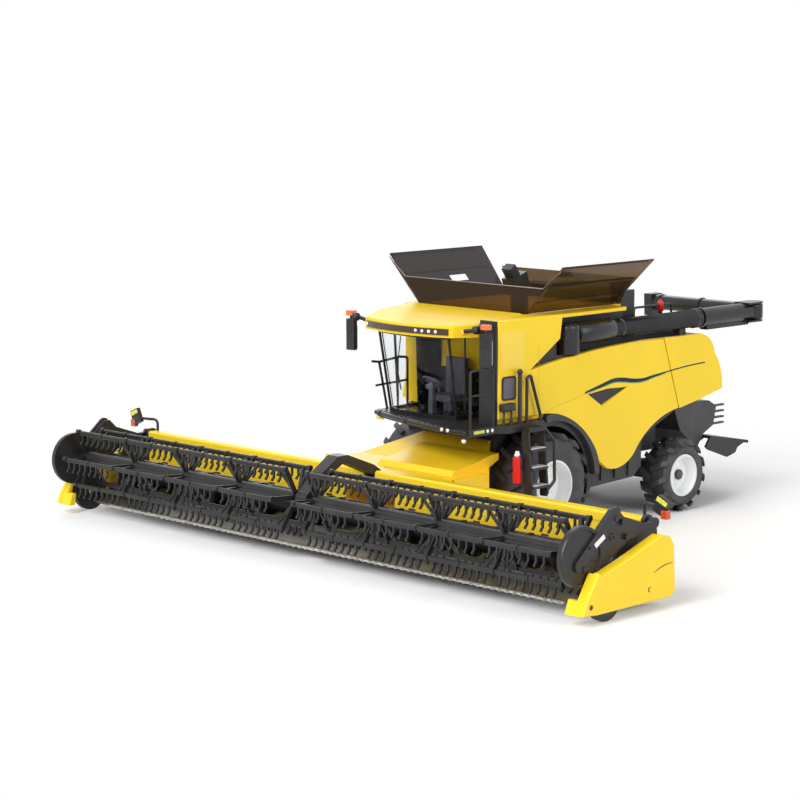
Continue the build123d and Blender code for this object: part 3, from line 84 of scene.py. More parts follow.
def noise(material, scale, detail=3.0, roughness=0.5):
    tree = material.node_tree
    texture = tree.nodes.new("ShaderNodeTexNoise")
    texture.inputs["Scale"].default_value = scale
    texture.inputs["Detail"].default_value = detail
    texture.inputs["Roughness"].default_value = roughness
    tree.links.new(object_coordinates(material), texture.inputs["Vector"])
    return texture.outputs["Fac"]


def ramp(material, factor, low, high, color_low, color_high):
    tree = material.node_tree
    node = tree.nodes.new("ShaderNodeValToRGB")
    node.color_ramp.elements[0].position = low
    node.color_ramp.elements[1].position = high
    node.color_ramp.elements[0].color = (*color_low, 1)
    node.color_ramp.elements[1].color = (*color_high, 1)
    tree.links.new(factor, node.inputs["Fac"])
    return node.outputs["Color"]


def vary_color(material, scale, color_low, color_high, low=0.35, high=0.65):
    shader = material.node_tree.nodes["Principled BSDF"]
    color = ramp(material, noise(material, scale), low, high, color_low, color_high)
    material.node_tree.links.new(color, shader.inputs["Base Color"])
    return color


def vary_roughness(material, scale, low_value, high_value):
    tree = material.node_tree
    node = tree.nodes.new("ShaderNodeMapRange")
    node.inputs["To Min"].default_value = low_value
    node.inputs["To Max"].default_value = high_value
    tree.links.new(noise(material, scale, detail=4), node.inputs["Value"])
    tree.links.new(node.outputs["Result"], tree.nodes["Principled BSDF"].inputs["Roughness"])


def bump(material, scale, strength, distance, detail=2.0):
    tree = material.node_tree
    node = tree.nodes.new("ShaderNodeBump")
    node.inputs["Strength"].default_value = strength
    node.inputs["Distance"].default_value = distance
    tree.links.new(noise(material, scale, detail=detail), node.inputs["Height"])
    tree.links.new(node.outputs["Normal"], tree.nodes["Principled BSDF"].inputs["Normal"])


def painted(name, color, shade, coat=0.12, specular=0.32):
    """Satin enamel on a die-cast body: slight tone change and orange peel."""
    material = new_material(name, color, 0.38, coat=coat, specular=specular)
    darker = tuple(c * shade for c in color)
    vary_color(material, 18, darker, color)
    vary_roughness(material, 140, 0.30, 0.44)
    bump(material, 900, 0.10, 0.00006)
    return material


def moulded(name, color, roughness, grain=1600, strength=0.25):
    """Moulded plastic: fine spark grain and a faint change of tone."""
    material = new_material(name, color, roughness, specular=0.45)
    lighter = tuple(c * 1.5 + 0.003 for c in color)
    vary_color(material, 60, color, lighter)
    vary_roughness(material, 220, roughness - 0.07, roughness + 0.10)
    bump(material, grain, strength, 0.00008)
    return material


YELLOW = (0.90, 0.62, 0.018)
# The cab roof and the grain tank get a darker copy of the body yellow: painted shade on the same
# paint.
ROOF_SHADE_YELLOW = (0.78, 0.52, 0.016)
# The feeder house gets a warmer, more orange copy of the body yellow: painted orange bounce light in
# the shade under the cab.
HOOD_BOUNCE_YELLOW = (0.94, 0.59, 0.016)
yellow = painted("yellow_enamel", YELLOW, 0.95)
roof_shade_yellow = painted("roof_shade_yellow", ROOF_SHADE_YELLOW, 0.95, coat=0.0, specular=0.12)
hood_bounce_yellow = painted("hood_bounce_yellow", HOOD_BOUNCE_YELLOW, 0.95)
white = painted("white_enamel", (0.86, 0.87, 0.88), 0.97)
red = painted("red_enamel", (0.70, 0.012, 0.012), 0.9)
black = moulded("black_plastic", (0.011, 0.010, 0.011), 0.38)
grey = moulded("dark_grey_plastic", (0.030, 0.028, 0.031), 0.52)
gloss_black = moulded("gloss_black_plastic", (0.008, 0.008, 0.010), 0.24, grain=700, strength=0.08)
seat_plastic = moulded("seat_plastic", (0.055, 0.058, 0.075), 0.6, grain=900, strength=0.5)
chopper_grey = moulded("chopper_grey", (0.045, 0.043, 0.047), 0.5)

rubber = new_material("tyre_rubber", (0.05, 0.048, 0.05), 0.6, specular=0.4)
vary_color(rubber, 90, (0.036, 0.034, 0.037), (0.068, 0.065, 0.069))
vary_roughness(rubber, 160, 0.45, 0.70)
bump(rubber, 1300, 0.35, 0.0001, detail=3)

steel = new_material("knife_steel", (0.62, 0.60, 0.56), 0.42, metallic=0.4)
vary_color(steel, 400, (0.42, 0.40, 0.36), (0.72, 0.70, 0.66))
vary_roughness(steel, 900, 0.28, 0.48)
bump(steel, 2500, 0.2, 0.00005)

lamp_strip = new_material("lamp_strip", (0.030, 0.012, 0.006), 0.18, coat=0.5)
vary_roughness(lamp_strip, 300, 0.14, 0.26)
vary_color(lamp_strip, 60, (0.022, 0.009, 0.005), (0.040, 0.017, 0.008))


def clear(name, color, roughness, transmission=1.0):
    """See-through plastic sheet with a very slight haze."""
    material = new_material(name, color, roughness, specular=0.5)
    shader = material.node_tree.nodes["Principled BSDF"]
    shader.inputs["Transmission Weight"].default_value = transmission
    shader.inputs["IOR"].default_value = 1.2
    vary_roughness(material, 50, roughness, roughness + 0.03)
    return material


glass = clear("cab_glazing", (0.93, 0.95, 0.96), 0.01)
SMOKED_SHARE = 0.85
smoked = clear("smoked_sheet", (0.15, 0.095, 0.05), 0.04, SMOKED_SHARE)
# The far flap gets a darker, greyer copy of the smoked sheet: painted shade on the same plastic.
smoked_far_shade = clear("smoked_sheet_far_shade", (0.065, 0.055, 0.055), 0.04, SMOKED_SHARE)
orange = new_material("beacon_orange", (0.90, 0.16, 0.02), 0.2, coat=0.6)
vary_color(orange, 300, (0.75, 0.10, 0.015), (0.95, 0.20, 0.03))
marker_orange = new_material("marker_orange", (0.50, 0.06, 0.02), 0.3, coat=0.3)
vary_color(marker_orange, 300, (0.42, 0.045, 0.015), (0.58, 0.08, 0.025))
amber = new_material("amber_lens", (0.95, 0.45, 0.05), 0.2, coat=0.6)
vary_color(amber, 300, (0.85, 0.36, 0.03), (0.98, 0.52, 0.08))
lens = new_material("white_lens", (0.85, 0.87, 0.88), 0.12, coat=0.8)
vary_color(lens, 500, (0.72, 0.74, 0.76), (0.92, 0.93, 0.94))
reflector = new_material("yellow_reflector", (0.62, 0.62, 0.06), 0.25, coat=0.4)
vary_color(reflector, 700, (0.50, 0.52, 0.04), (0.72, 0.70, 0.09))
window_grey = moulded("window_grey", (0.085, 0.075, 0.10), 0.35, grain=900, strength=0.1)
# Paler yellow for the cabinet's raised covers: painted light, as on a face turned to the light.
cover_lit_yellow = painted("cover_lit_yellow", (0.90, 0.64, 0.07), 0.96)
# Dark brown for holes, slots and the pressed line: painted shade in hollows.
hollow_shade_brown = moulded("slot_shade_brown", (0.060, 0.030, 0.006), 0.6)
# Darker yellow for the shut line, a dark joint, and for the crease line, which is painted shade along
# a ridge.
joint_and_shade_yellow = painted("joint_and_shade_yellow", (0.52, 0.32, 0.010), 0.95, coat=0.0)
# Light grey for the smoked panels' top edges: painted highlight.
edge_highlight_grey = moulded("edge_highlight_grey", (0.20, 0.18, 0.165), 0.3, grain=900, strength=0.1)
label_white = painted("label_white", (0.82, 0.82, 0.82), 0.95)
hub_grey = moulded("hub_grey", (0.055, 0.055, 0.06), 0.45)
tread_grey = moulded("step_grey", (0.42, 0.42, 0.43), 0.55, grain=1200, strength=0.4)
stripe_blue = new_material("stripe_blue", (0.008, 0.022, 0.035), 0.4, specular=0.2)
vary_color(stripe_blue, 120, (0.007, 0.020, 0.030), (0.011, 0.028, 0.045))
stripe_green = new_material("stripe_green", (0.12, 0.30, 0.20), 0.4, specular=0.2)
vary_color(stripe_green, 120, (0.10, 0.27, 0.18), (0.14, 0.33, 0.22))


def paint_regions(name, base_color, region_color, regions):
    """Paint with boxes of another colour: each region is X, Y and Z limits in millimetres.

    None leaves an axis without limits.
    """
    material = new_material(name, base_color, 0.34, coat=0.3)
    tree = material.node_tree
    shader = tree.nodes["Principled BSDF"]
    split = tree.nodes.new("ShaderNodeSeparateXYZ")
    tree.links.new(object_coordinates(material), split.inputs["Vector"])

    def between(output, low, high):
        above = tree.nodes.new("ShaderNodeMath")
        above.operation = "GREATER_THAN"
        above.inputs[1].default_value = low * MM
        tree.links.new(output, above.inputs[0])
        below = tree.nodes.new("ShaderNodeMath")
        below.operation = "LESS_THAN"
        below.inputs[1].default_value = high * MM
        tree.links.new(output, below.inputs[0])
        both = tree.nodes.new("ShaderNodeMath")
        both.operation = "MULTIPLY"
        tree.links.new(above.outputs[0], both.inputs[0])
        tree.links.new(below.outputs[0], both.inputs[1])
        return both.outputs[0]

    total = None
    for low_x, high_x, low_y, high_y, low_z, high_z in regions:
        inside = None
        for axis, low, high in (("X", low_x, high_x), ("Y", low_y, high_y), ("Z", low_z, high_z)):
            if low is None:
                continue
            part = between(split.outputs[axis], low, high)
            if inside is None:
                inside = part
            else:
                product = tree.nodes.new("ShaderNodeMath")
                product.operation = "MULTIPLY"
                tree.links.new(inside, product.inputs[0])
                tree.links.new(part, product.inputs[1])
                inside = product.outputs[0]
        if total is None:
            total = inside
        else:
            larger = tree.nodes.new("ShaderNodeMath")
            larger.operation = "MAXIMUM"
            tree.links.new(total, larger.inputs[0])
            tree.links.new(inside, larger.inputs[1])
            total = larger.outputs[0]
    mix = tree.nodes.new("ShaderNodeMix")
    mix.data_type = "RGBA"
    tree.links.new(total, mix.inputs["Factor"])
    darker = tuple(c * 0.95 for c in base_color)
    lighter = tuple(c * 1.4 for c in region_color)
    base = ramp(material, noise(material, 18), 0.35, 0.65, darker, base_color)
    other = ramp(material, noise(material, 60), 0.35, 0.65, region_color, lighter)
    tree.links.new(base, mix.inputs["A"])
    tree.links.new(other, mix.inputs["B"])
    tree.links.new(mix.outputs["Result"], shader.inputs["Base Color"])
    vary_roughness(material, 140, 0.28, 0.42)
    bump(material, 900, 0.10, 0.00006)
    return material


TABLE_BROWN = (0.045, 0.038, 0.030)
TROUGH_FLOOR = (None, None, -160, -108.5, 0, 13.5)
KNIFE_BEAM = (None, None, -160, -131, 0, 60)
trough_paint = paint_regions("trough_paint", YELLOW, TABLE_BROWN, [TROUGH_FLOOR, KNIFE_BEAM])


def dress(material, *names):
    for name in names:
        nodes[name].data.materials.clear()
        nodes[name].data.materials.append(material)


dress(yellow, "side_panel_left", "side_panel_right", "rear_hood")
dress(roof_shade_yellow, "grain_tank", "cab_roof")
dress(hood_bounce_yellow, "feeder_house")
dress(yellow, "crop_divider_left", "crop_divider_right")
dress(trough_paint, "header_trough")
dress(rubber, "tyre_front_left", "tyre_front_right", "tyre_rear_left", "tyre_rear_right")
dress(white, "rim_front_left", "rim_front_right", "rim_rear_left", "rim_rear_right")
dress(steel, "cutter_bar")
dress(red, "fire_extinguisher")
dress(lamp_strip, "roof_light_bar")
dress(glass, "cab_glass")
dress(smoked, "tank_flap_left", "tank_end_panels")
dress(smoked_far_shade, "tank_flap_right")
dress(gloss_black, "unloading_auger_inner", "unloading_auger_outer")
dress(black, "cab_frame", "cab_mirrors", "cabinet_front", "platform", "cab_handrails")
dress(black, "boarding_ladder", "wheel_arches", "tank_fill_auger", "deck_handrails")
dress(black, "reel_left", "reel_right", "reel_shaft", "reel_arm_left", "reel_arm_right")
dress(black, "reel_arm_middle", "header_end_sheets", "marker_lamps", "intake_auger")
dress(black, "gauge_wheel_left", "gauge_wheel_right", "air_intake", "engine_cover")
dress(grey, "chassis_frame", "engine_bay", "rear_axle_beam", "knuckle_left", "knuckle_right")
dress(chopper_grey, "straw_chopper")
dress(black, "spreader_board")
dress(seat_plastic, "cab_seat", "cab_steering_column")


# Mesh pieces


def add_mesh(name, mesh, material, body, smooth=False):
    mesh.materials.append(material)
    if smooth:
        for polygon in mesh.polygons:
            polygon.use_smooth = True
    piece = bpy.data.objects.new(name, mesh)
    bpy.context.scene.collection.objects.link(piece)
    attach(piece, body)
    return piece


def bevelled_box(name, centre, size, bevel, material, body, turn=None):
    """A box with rounded edges, sizes in millimetres."""
    work = bmesh.new()
    bmesh.ops.create_cube(work, size=1.0)
    bmesh.ops.scale(work, vec=Vector(mm(*size)), verts=work.verts)
    bmesh.ops.bevel(
        work, geom=list(work.edges), offset=bevel * MM, segments=3, profile=0.5, affect="EDGES"
    )
    if turn is not None:
        bmesh.ops.rotate(work, matrix=turn, verts=work.verts)
    bmesh.ops.translate(work, vec=Vector(mm(*centre)), verts=work.verts)
    mesh = bpy.data.meshes.new(name)
    work.to_mesh(mesh)
    work.free()
    return add_mesh(name, mesh, material, body)


def lathe(name, origin, axis, profile, material, body, segments=32):
    """A turned piece: profile is (distance along axis, radius) pairs in millimetres."""
    work = bmesh.new()
    direction = Vector(axis).normalized()
    side = direction.orthogonal().normalized()
    other = direction.cross(side)
    rings = []
    for along, radius in profile:
        ring = []
        for k in range(segments):
            angle = 2 * math.pi * k / segments
            offset = side * math.cos(angle) + other * math.sin(angle)
            point = Vector(mm(*origin)) + direction * along * MM + offset * radius * MM
            ring.append(work.verts.new(point))
        rings.append(ring)
    for first, second in zip(rings, rings[1:]):
        for k in range(segments):
            n = (k + 1) % segments
            work.faces.new((first[k], first[n], second[n], second[k]))
    work.faces.new(list(reversed(rings[0])))
    work.faces.new(rings[-1])
    bmesh.ops.remove_doubles(work, verts=work.verts, dist=1e-7)
    bmesh.ops.recalc_face_normals(work, faces=work.faces)
    mesh = bpy.data.meshes.new(name)
    work.to_mesh(mesh)
    work.free()
    return add_mesh(name, mesh, material, body, smooth=True)


def tube(name, points, radius, material, body, cyclic=False):
    """Round bar along points in millimetres."""
    curve = bpy.data.curves.new(name, "CURVE")
    curve.dimensions = "3D"
    curve.bevel_depth = radius * MM
    curve.bevel_resolution = 4
    curve.use_fill_caps = True
    spline = curve.splines.new("POLY")
    spline.points.add(len(points) - 1)
    for target, point in zip(spline.points, points):
        target.co = (*mm(*point), 1)
    spline.use_cyclic_u = cyclic
    holder = bpy.data.objects.new(name + "_curve", curve)
    bpy.context.scene.collection.objects.link(holder)
    bpy.context.view_layer.update()
    evaluated = holder.evaluated_get(bpy.context.evaluated_depsgraph_get())
    mesh = bpy.data.meshes.new_from_object(evaluated)
    bpy.data.objects.remove(holder)
    bpy.data.curves.remove(curve)
    return add_mesh(name, mesh, material, body, smooth=True)


def side_plate(name, x, thickness, outline, material, body, bevel=0.0):
    """A flat plate in a plane across the machine: outline is (Y, Z) points."""
    work = bmesh.new()
    face = work.faces.new([work.verts.new(mm(x, y, z)) for y, z in outline])
    grown = bmesh.ops.extrude_face_region(work, geom=[face])
    moved = [v for v in grown["geom"] if isinstance(v, bmesh.types.BMVert)]
    bmesh.ops.translate(work, vec=Vector(mm(thickness, 0, 0)), verts=moved)
    bmesh.ops.recalc_face_normals(work, faces=work.faces)
    if bevel:
        bmesh.ops.bevel(
            work, geom=list(work.edges), offset=bevel * MM, segments=2, profile=0.5, affect="EDGES"
        )
    mesh = bpy.data.meshes.new(name)
    work.to_mesh(mesh)
    work.free()
    return add_mesh(name, mesh, material, body)


def rounded_plate(name, x, thickness, y, z, height, width, corner, material, body):
    """A flat plate on the machine's side with rounded corners, centred at (y, z)."""
    outline = []
    for sy, sz, first in ((1, 1, 0), (-1, 1, 90), (-1, -1, 180), (1, -1, 270)):
        for step in range(5):
            a = math.radians(first + step * 22.5)
            outline.append(
                (y + sy * (width / 2 - corner) + corner * math.cos(a),
                 z + sz * (height / 2 - corner) + corner * math.sin(a))
            )
    return side_plate(name, x, thickness, outline, material, body, bevel=0.08)


def band(name, x, thickness, line, widths, material, body):
    """A strip of changing width along a line of (Y, Z) points."""
    upper = []
    lower = []
    for k, (y, z) in enumerate(line):
        before = line[max(k - 1, 0)]
        after = line[min(k + 1, len(line) - 1)]
        along = Vector((after[0] - before[0], after[1] - before[1])).normalized()
        across = Vector((-along[1], along[0])) * widths[k] / 2
        upper.append((y + across[0], z + across[1]))
        lower.append((y - across[0], z - across[1]))
    return side_plate(name, x, thickness, upper + lower[::-1], material, body)


def smooth_line(points, steps=8):
    """Points along a Catmull-Rom curve through the given ones."""
    out = []
    for k in range(len(points) - 1):
        p0 = Vector(points[max(k - 1, 0)])
        p1 = Vector(points[k])
        p2 = Vector(points[k + 1])
        p3 = Vector(points[min(k + 2, len(points) - 1)])
        for s in range(steps):
            t = s / steps
            out.append(
                tuple(
                    0.5 * (
                        2 * p1 + (p2 - p0) * t + (2 * p0 - 5 * p1 + 4 * p2 - p3) * t * t
                        + (3 * p1 - p0 - 3 * p2 + p3) * t * t * t
                    )
                )
            )
    out.append(tuple(points[-1]))
    return out


def prism(work, start, end, half_width, half_thick, across):
    """A straight bar of rectangular section between two points, in millimetres."""
    along = (Vector(end) - Vector(start)).normalized()
    wide = Vector(across).normalized()
    thick = along.cross(wide).normalized()
    corners = []
    for point in (Vector(start), Vector(end)):
        for a, b in ((-1, -1), (1, -1), (1, 1), (-1, 1)):
            place = point + wide * (a * half_width) + thick * (b * half_thick)
            corners.append(work.verts.new(place * MM))
    for k in range(4):
        n = (k + 1) % 4
        work.faces.new((corners[k], corners[n], corners[4 + n], corners[4 + k]))
    work.faces.new(corners[:4][::-1])
    work.faces.new(corners[4:])


def collar(work, centre, radius, length, segments=12):
    """A short round sleeve along X, in millimetres."""
    rings = []
    for x in (-length / 2, length / 2):
        ring = []
        for k in range(segments):
            a = 2 * math.pi * k / segments
            offset = Vector((x, radius * math.cos(a), radius * math.sin(a)))
            ring.append(work.verts.new((Vector(centre) + offset) * MM))
        rings.append(ring)
    for k in range(segments):
        n = (k + 1) % segments
        work.faces.new((rings[0][k], rings[1][k], rings[1][n], rings[0][n]))
    work.faces.new(rings[0])
    work.faces.new(rings[1][::-1])


def finish_mesh(name, work, material, body):
    bmesh.ops.recalc_face_normals(work, faces=work.faces)
    mesh = bpy.data.meshes.new(name)
    work.to_mesh(mesh)
    work.free()
    return add_mesh(name, mesh, material, body)


def hollow_ring(work, loops):
    """A closed ring with four walls from four loops of points in millimetres."""
    rings = [[work.verts.new(mm(*point)) for point in loop] for loop in loops]
    for first, second in zip(rings, rings[1:] + rings[:1]):
        for k in range(len(first)):
            n = (k + 1) % len(first)
            work.faces.new((first[k], first[n], second[n], second[k]))


# Side panel: wavy stripe and dark vents

SIDES = ((1, "left"), (-1, "right"))

PANEL_X = limits("side_panel_left")[1][0]
stripe_line = smooth_line(
    [(8.1, 78.7), (20.8, 81.1), (31.9, 83.2), (40.6, 82.9), (49.4, 81.6), (58.3, 81.2),
     (67.2, 82.3), (82.6, 84.0), (99.7, 85.4), (115.0, 86.0)]
)
STRIPE_THICK = 0.05
STRIPE_THIN = 0.75
STRIPE_SWELL = 1.6
SWELL_START_Y = 4
SWELL_LENGTH = 78
stripe_width = []
for y, _ in stripe_line:
    share = (y - SWELL_START_Y) / SWELL_LENGTH
    rise = math.sin(math.pi * share ** 0.9) if share < 1 else 0
    stripe_width.append(STRIPE_THIN + STRIPE_SWELL * max(0, rise) ** 1.4)
band(
    "stripe_blue", PANEL_X, STRIPE_THICK, stripe_line, stripe_width, stripe_blue, "chassis",
)
GREEN_WIDTH = 0.42
GREEN_SHARE = 0.76
green_line = [(y, z - w / 2 - 0.3) for (y, z), w in zip(stripe_line, stripe_width)]
green_line = green_line[: int(len(stripe_line) * GREEN_SHARE)]
band(
    "stripe_green", PANEL_X, STRIPE_THICK, green_line, [GREEN_WIDTH] * len(green_line), stripe_green,
    "chassis",
)
VENT_DEPTH = 1.35
VENT_OUTLINE = [(11.4, 77.2), (22.7, 70.4), (43.6, 78.1), (28, 78.8)]
for side, tag in SIDES:
    side_plate(
        f"vent_{tag}", side * (PANEL_X - VENT_DEPTH), side * 0.5, VENT_OUTLINE, black, "chassis",
        bevel=0.1,
    )

# Cabinet side: window with a rounded frame, raised covers, fine lines and a box on legs

WINDOW_Y = -54.6
WINDOW_Z = 87.4
rounded_plate(
    "cabinet_window_frame", PANEL_X, 0.55, WINDOW_Y, WINDOW_Z, 13.0, 11.0, 2.0, black, "chassis",
)
rounded_plate(
    "cabinet_window", PANEL_X + 0.4, 0.35, WINDOW_Y, WINDOW_Z, 10.8, 8.9, 1.4, window_grey, "chassis",
)
# The covers' paler yellow is painted light.
rounded_plate(
    "cabinet_cover", PANEL_X - 0.1, 0.25, -51.6, 107.6, 20.0, 18.4, 1.2, cover_lit_yellow, "chassis",
)
rounded_plate(
    "cabinet_hatch", PANEL_X + 0.1, 0.25, -52.2, 106.4, 8.6, 9.0, 0.6, cover_lit_yellow, "chassis",
)
# The shut line is a dark joint; the crease line is painted shade along a ridge of the panel.
FINE_LINES = {
    "cabinet_shut_line": [(-30.2, 71.2), (-30.0, 71.2), (-30.4, 108.0), (-30.6, 108.0)],
    "panel_crease_shade": [(-25.4, 71.5), (-25.3, 71.3), (8.0, 78.0), (8.0, 78.25)],
}
for name, outline in FINE_LINES.items():
    side_plate(name, PANEL_X - 0.1, 0.12, outline, joint_and_shade_yellow, "chassis")
BAY_X = 49.85
side_plate(
    "bay_corner_plate", BAY_X, 0.12, [(-36.4, 95.4), (-12.8, 110.3), (-12.8, 98.6), (-24, 96.4)],
    black, "chassis",
)
bevelled_box(
    "column_cap", (46.5, -63.3, 122.6), (12.0, 1.1, 2.6), 0.3, black, "chassis"
)
FUSE_BOX_X = 55.0
bevelled_box(
    "fuse_box", (FUSE_BOX_X, -57.4, 77.6), (4.0, 10.6, 4.4), 1.3, black, "chassis"
)
for k, y in enumerate((-60.8, -55.0)):
    tube(
        f"fuse_box_leg_{k}", [(FUSE_BOX_X, y + 0.8, 76.5), (FUSE_BOX_X + 0.4, y, 68.0)], 0.75, black,
        "chassis",
    )

# Arch lips along the side panels

FRONT_HUB = (47.5, -18.6, 29.5)
REAR_HUB = (47.5, 96.6, 21.3)
LIP_R = 38.2
LIP_WIDTH = 4.0
LIP_START = 97
LIP_STEP = 3.9
lip_arc = []
for k in range(25):
    angle = math.radians(LIP_START - k * LIP_STEP)
    lip_arc.append((FRONT_HUB[1] + LIP_R * math.cos(angle), FRONT_HUB[2] + LIP_R * math.sin(angle)))
for side, tag in SIDES:
    band(
        f"arch_lip_{tag}", side * (PANEL_X - 3.2), side * 3.1, lip_arc, [LIP_WIDTH] * len(lip_arc),
        grey, "chassis",
    )

# Roof lamps, amber lamp, beacons, mirrors and wiper

strip_low, strip_high = limits("roof_light_bar")
STRIP_Z = (strip_low[2] + strip_high[2]) / 2
ROOF_NOSE_Y = -83.5
ROOF_ARC_R = 89.58
STRIP_R = ROOF_ARC_R + 0.7
ROOF_LAMP_ANGLES = (-19.4, 7.4, 10.1, 12.8, 15.5)
for k, degrees in enumerate(ROOF_LAMP_ANGLES):
    angle = math.radians(degrees)
    x = STRIP_R * math.sin(angle)
    y = ROOF_NOSE_Y + ROOF_ARC_R - STRIP_R * math.cos(angle)
    lathe(
        f"roof_lamp_{k}", (x, y, STRIP_Z), (math.sin(angle), -math.cos(angle), 0),
        [(0, 0.9), (0.3, 0.9), (0.5, 0.65), (0.6, 0.0)], lens, "chassis", 20,
    )
MIRROR_X = 51.5
for side, tag in SIDES:
    lathe(
        f"roof_amber_lamp_{tag}", (side * 36.3, -71.8, 117.5), (side * 0.886, -0.464, 0),
        [(-0.4, 1.4), (0.3, 1.4), (0.8, 1.0), (1.0, 0.0)], amber, "chassis", 24,
    )
    bevelled_box(
        f"beacon_{tag}", (side * MIRROR_X, -70.8, 121.3), (5.4, 4.0, 3.0), 0.7, orange, "chassis",
    )
    lathe(
        f"beacon_base_{tag}", (side * 44.6, -72.4, 119.6), (side, 0, 0),
        [(-0.4, 0.0), (-0.4, 1.6), (0.2, 2.3), (2.4, 2.3), (3.0, 1.7), (3.0, 0.0)], black,
        "chassis", 24,
    )
    bevelled_box(
        f"mirror_glass_{tag}", (side * MIRROR_X, -68.4, 107.6), (5.0, 0.3, 12.6), 0.12, lens,
        "chassis",
    )
    bevelled_box(
        f"mirror_head_{tag}", (side * MIRROR_X, -72.45, 113.4), (4.6, 0.5, 6.4), 0.2, gloss_black,
        "chassis",
    )

WIPER_HUB = (-12.0, -73.9, 94.0)
WIPER_TOPS = ((-9.5, -77.6, 112.6), (-4.9, -78.2, 112.6))
for k, top in enumerate(WIPER_TOPS):
    tube(f"wiper_arm_{k}", [top, WIPER_HUB], 0.3, black, "chassis")
tube(
    "wiper_blade", [(-13.8, -73.8, 98.0), WIPER_HUB, (-11.0, -71.8, 82.0)], 0.35, black, "chassis",
)

# Boarding ladder treads and the extinguisher's head

TOP_TREAD = (62.0, -42.75, 54.85)
STEP_RISE = 10.0
STEP_REACH = 0.8
for k in range(3):
    centre = (TOP_TREAD[0] + STEP_REACH * k, TOP_TREAD[1], TOP_TREAD[2] - STEP_RISE * k)
    bevelled_box(
        f"step_tread_{k}", centre, (5.6, 11.0, 0.5), 0.15, tread_grey, "chassis"
    )
bottle_low, bottle_high = limits("fire_extinguisher")
bottle_x = (bottle_low[0] + bottle_high[0]) / 2
bottle_y = (bottle_low[1] + bottle_high[1]) / 2
lathe(
    "extinguisher_head", (bottle_x, bottle_y, 50.9), (0, 0, 1),
    [(0, 1.7), (0.9, 1.7), (1.3, 1.2), (2.6, 1.2), (2.75, 0.8), (2.8, 0.0)], lens, "chassis",
    24,
)
tube(
    "extinguisher_hose",
    [(bottle_x + 1.2, bottle_y, 51.6), (bottle_x + 2.6, bottle_y, 50.4),
     (bottle_x + 2.7, bottle_y, 44.0)],
    0.35, black, "chassis",
)

# Platform lamps, reflectors and the round lamp on its bracket

for k, (x, y) in enumerate(((34.4, -86.474), (39.2, -86.882))):
    lathe(
        f"work_lamp_{k}", (x, y, 66.6), (0, -1, 0),
        [(-0.2, 1.0), (0.4, 1.0), (0.6, 0.7), (0.7, 0.0)], lens, "chassis", 20,
    )
DECK_EDGE_X = 53.5
bevelled_box(
    "deck_reflector", (DECK_EDGE_X + 0.1, -77.9, 66.2), (0.5, 8.0, 1.7), 0.15, reflector, "chassis",
)
bevelled_box(
    "deck_reflector_right", (-32.4, -66.9, 63.6), (5.4, 0.6, 1.9), 0.15, reflector, "chassis",
)
for k, y in enumerate((-71.3, -67.6)):
    lathe(
        f"deck_lamp_{k}", (DECK_EDGE_X - 0.1, y, 66.1), (1, 0, 0),
        [(0, 1.0), (0.35, 1.0), (0.5, 0.7), (0.6, 0.0)], lens, "chassis", 20,
    )
tube(
    "ball_lamp_stalk", [(49.0, -84.6, 65.0), (49.0, -84.8, 62.6)], 0.8, black, "chassis",
)
lathe(
    "ball_lamp", (49.0, -84.8, 62.9), (0, 0, -1),
    [(0, 0.6), (0.5, 1.2), (1.2, 1.35), (1.9, 1.1), (2.4, 0.5), (2.5, 0.0)], lens, "chassis",
    20,
)

# Round bumper tube along the platform's front edge, with its clamps

BUMPER_Z = 66.4
BUMPER_CORNERS = ((-36.0, -66.5), (0.0, -77.5), (30.0, -84.5), (52.8, -86.4))
bumper_route = [Vector((x, y, BUMPER_Z)) for x, y in BUMPER_CORNERS]
tube("platform_bumper", bumper_route, 1.35, gloss_black, "chassis")
for k, share in enumerate((0.12, 0.92)):
    lathe(
        f"bumper_clamp_{k}", bumper_route[0].lerp(bumper_route[1], share),
        bumper_route[1] - bumper_route[0], [(0, 1.3), (0, 1.75), (1.6, 1.75), (1.6, 1.3)],
        gloss_black, "chassis", 20,
    )

# Marker lamps at the header's ends: reflector above, orange lens below

LAMP_X = 200.0
LAMP_Z = 50.4
LAMP_FRONT_Y = -107.2
LAMP_LEAN = 24.0
for side, tag in SIDES:
    lean = Matrix.Rotation(side * math.radians(LAMP_LEAN), 3, "Y")
    upper = lean @ Vector((0, 0, 2.5))
    bevelled_box(
        f"marker_reflector_{tag}",
        (side * LAMP_X + upper.x, LAMP_FRONT_Y - 0.15, LAMP_Z + upper.z), (6.6, 0.5, 2.4), 0.15,
        reflector, "header", turn=lean,
    )
    bevelled_box(
        f"marker_lens_{tag}", (side * 202.4, LAMP_FRONT_Y + 1.3, 46.4), (4.2, 2.9, 4.4), 0.5,
        marker_orange, "header",
    )

# Divider trim: dark holes, a pressed crescent and a moulded line; the dark brown in the holes and in
# the line is painted shade in hollows

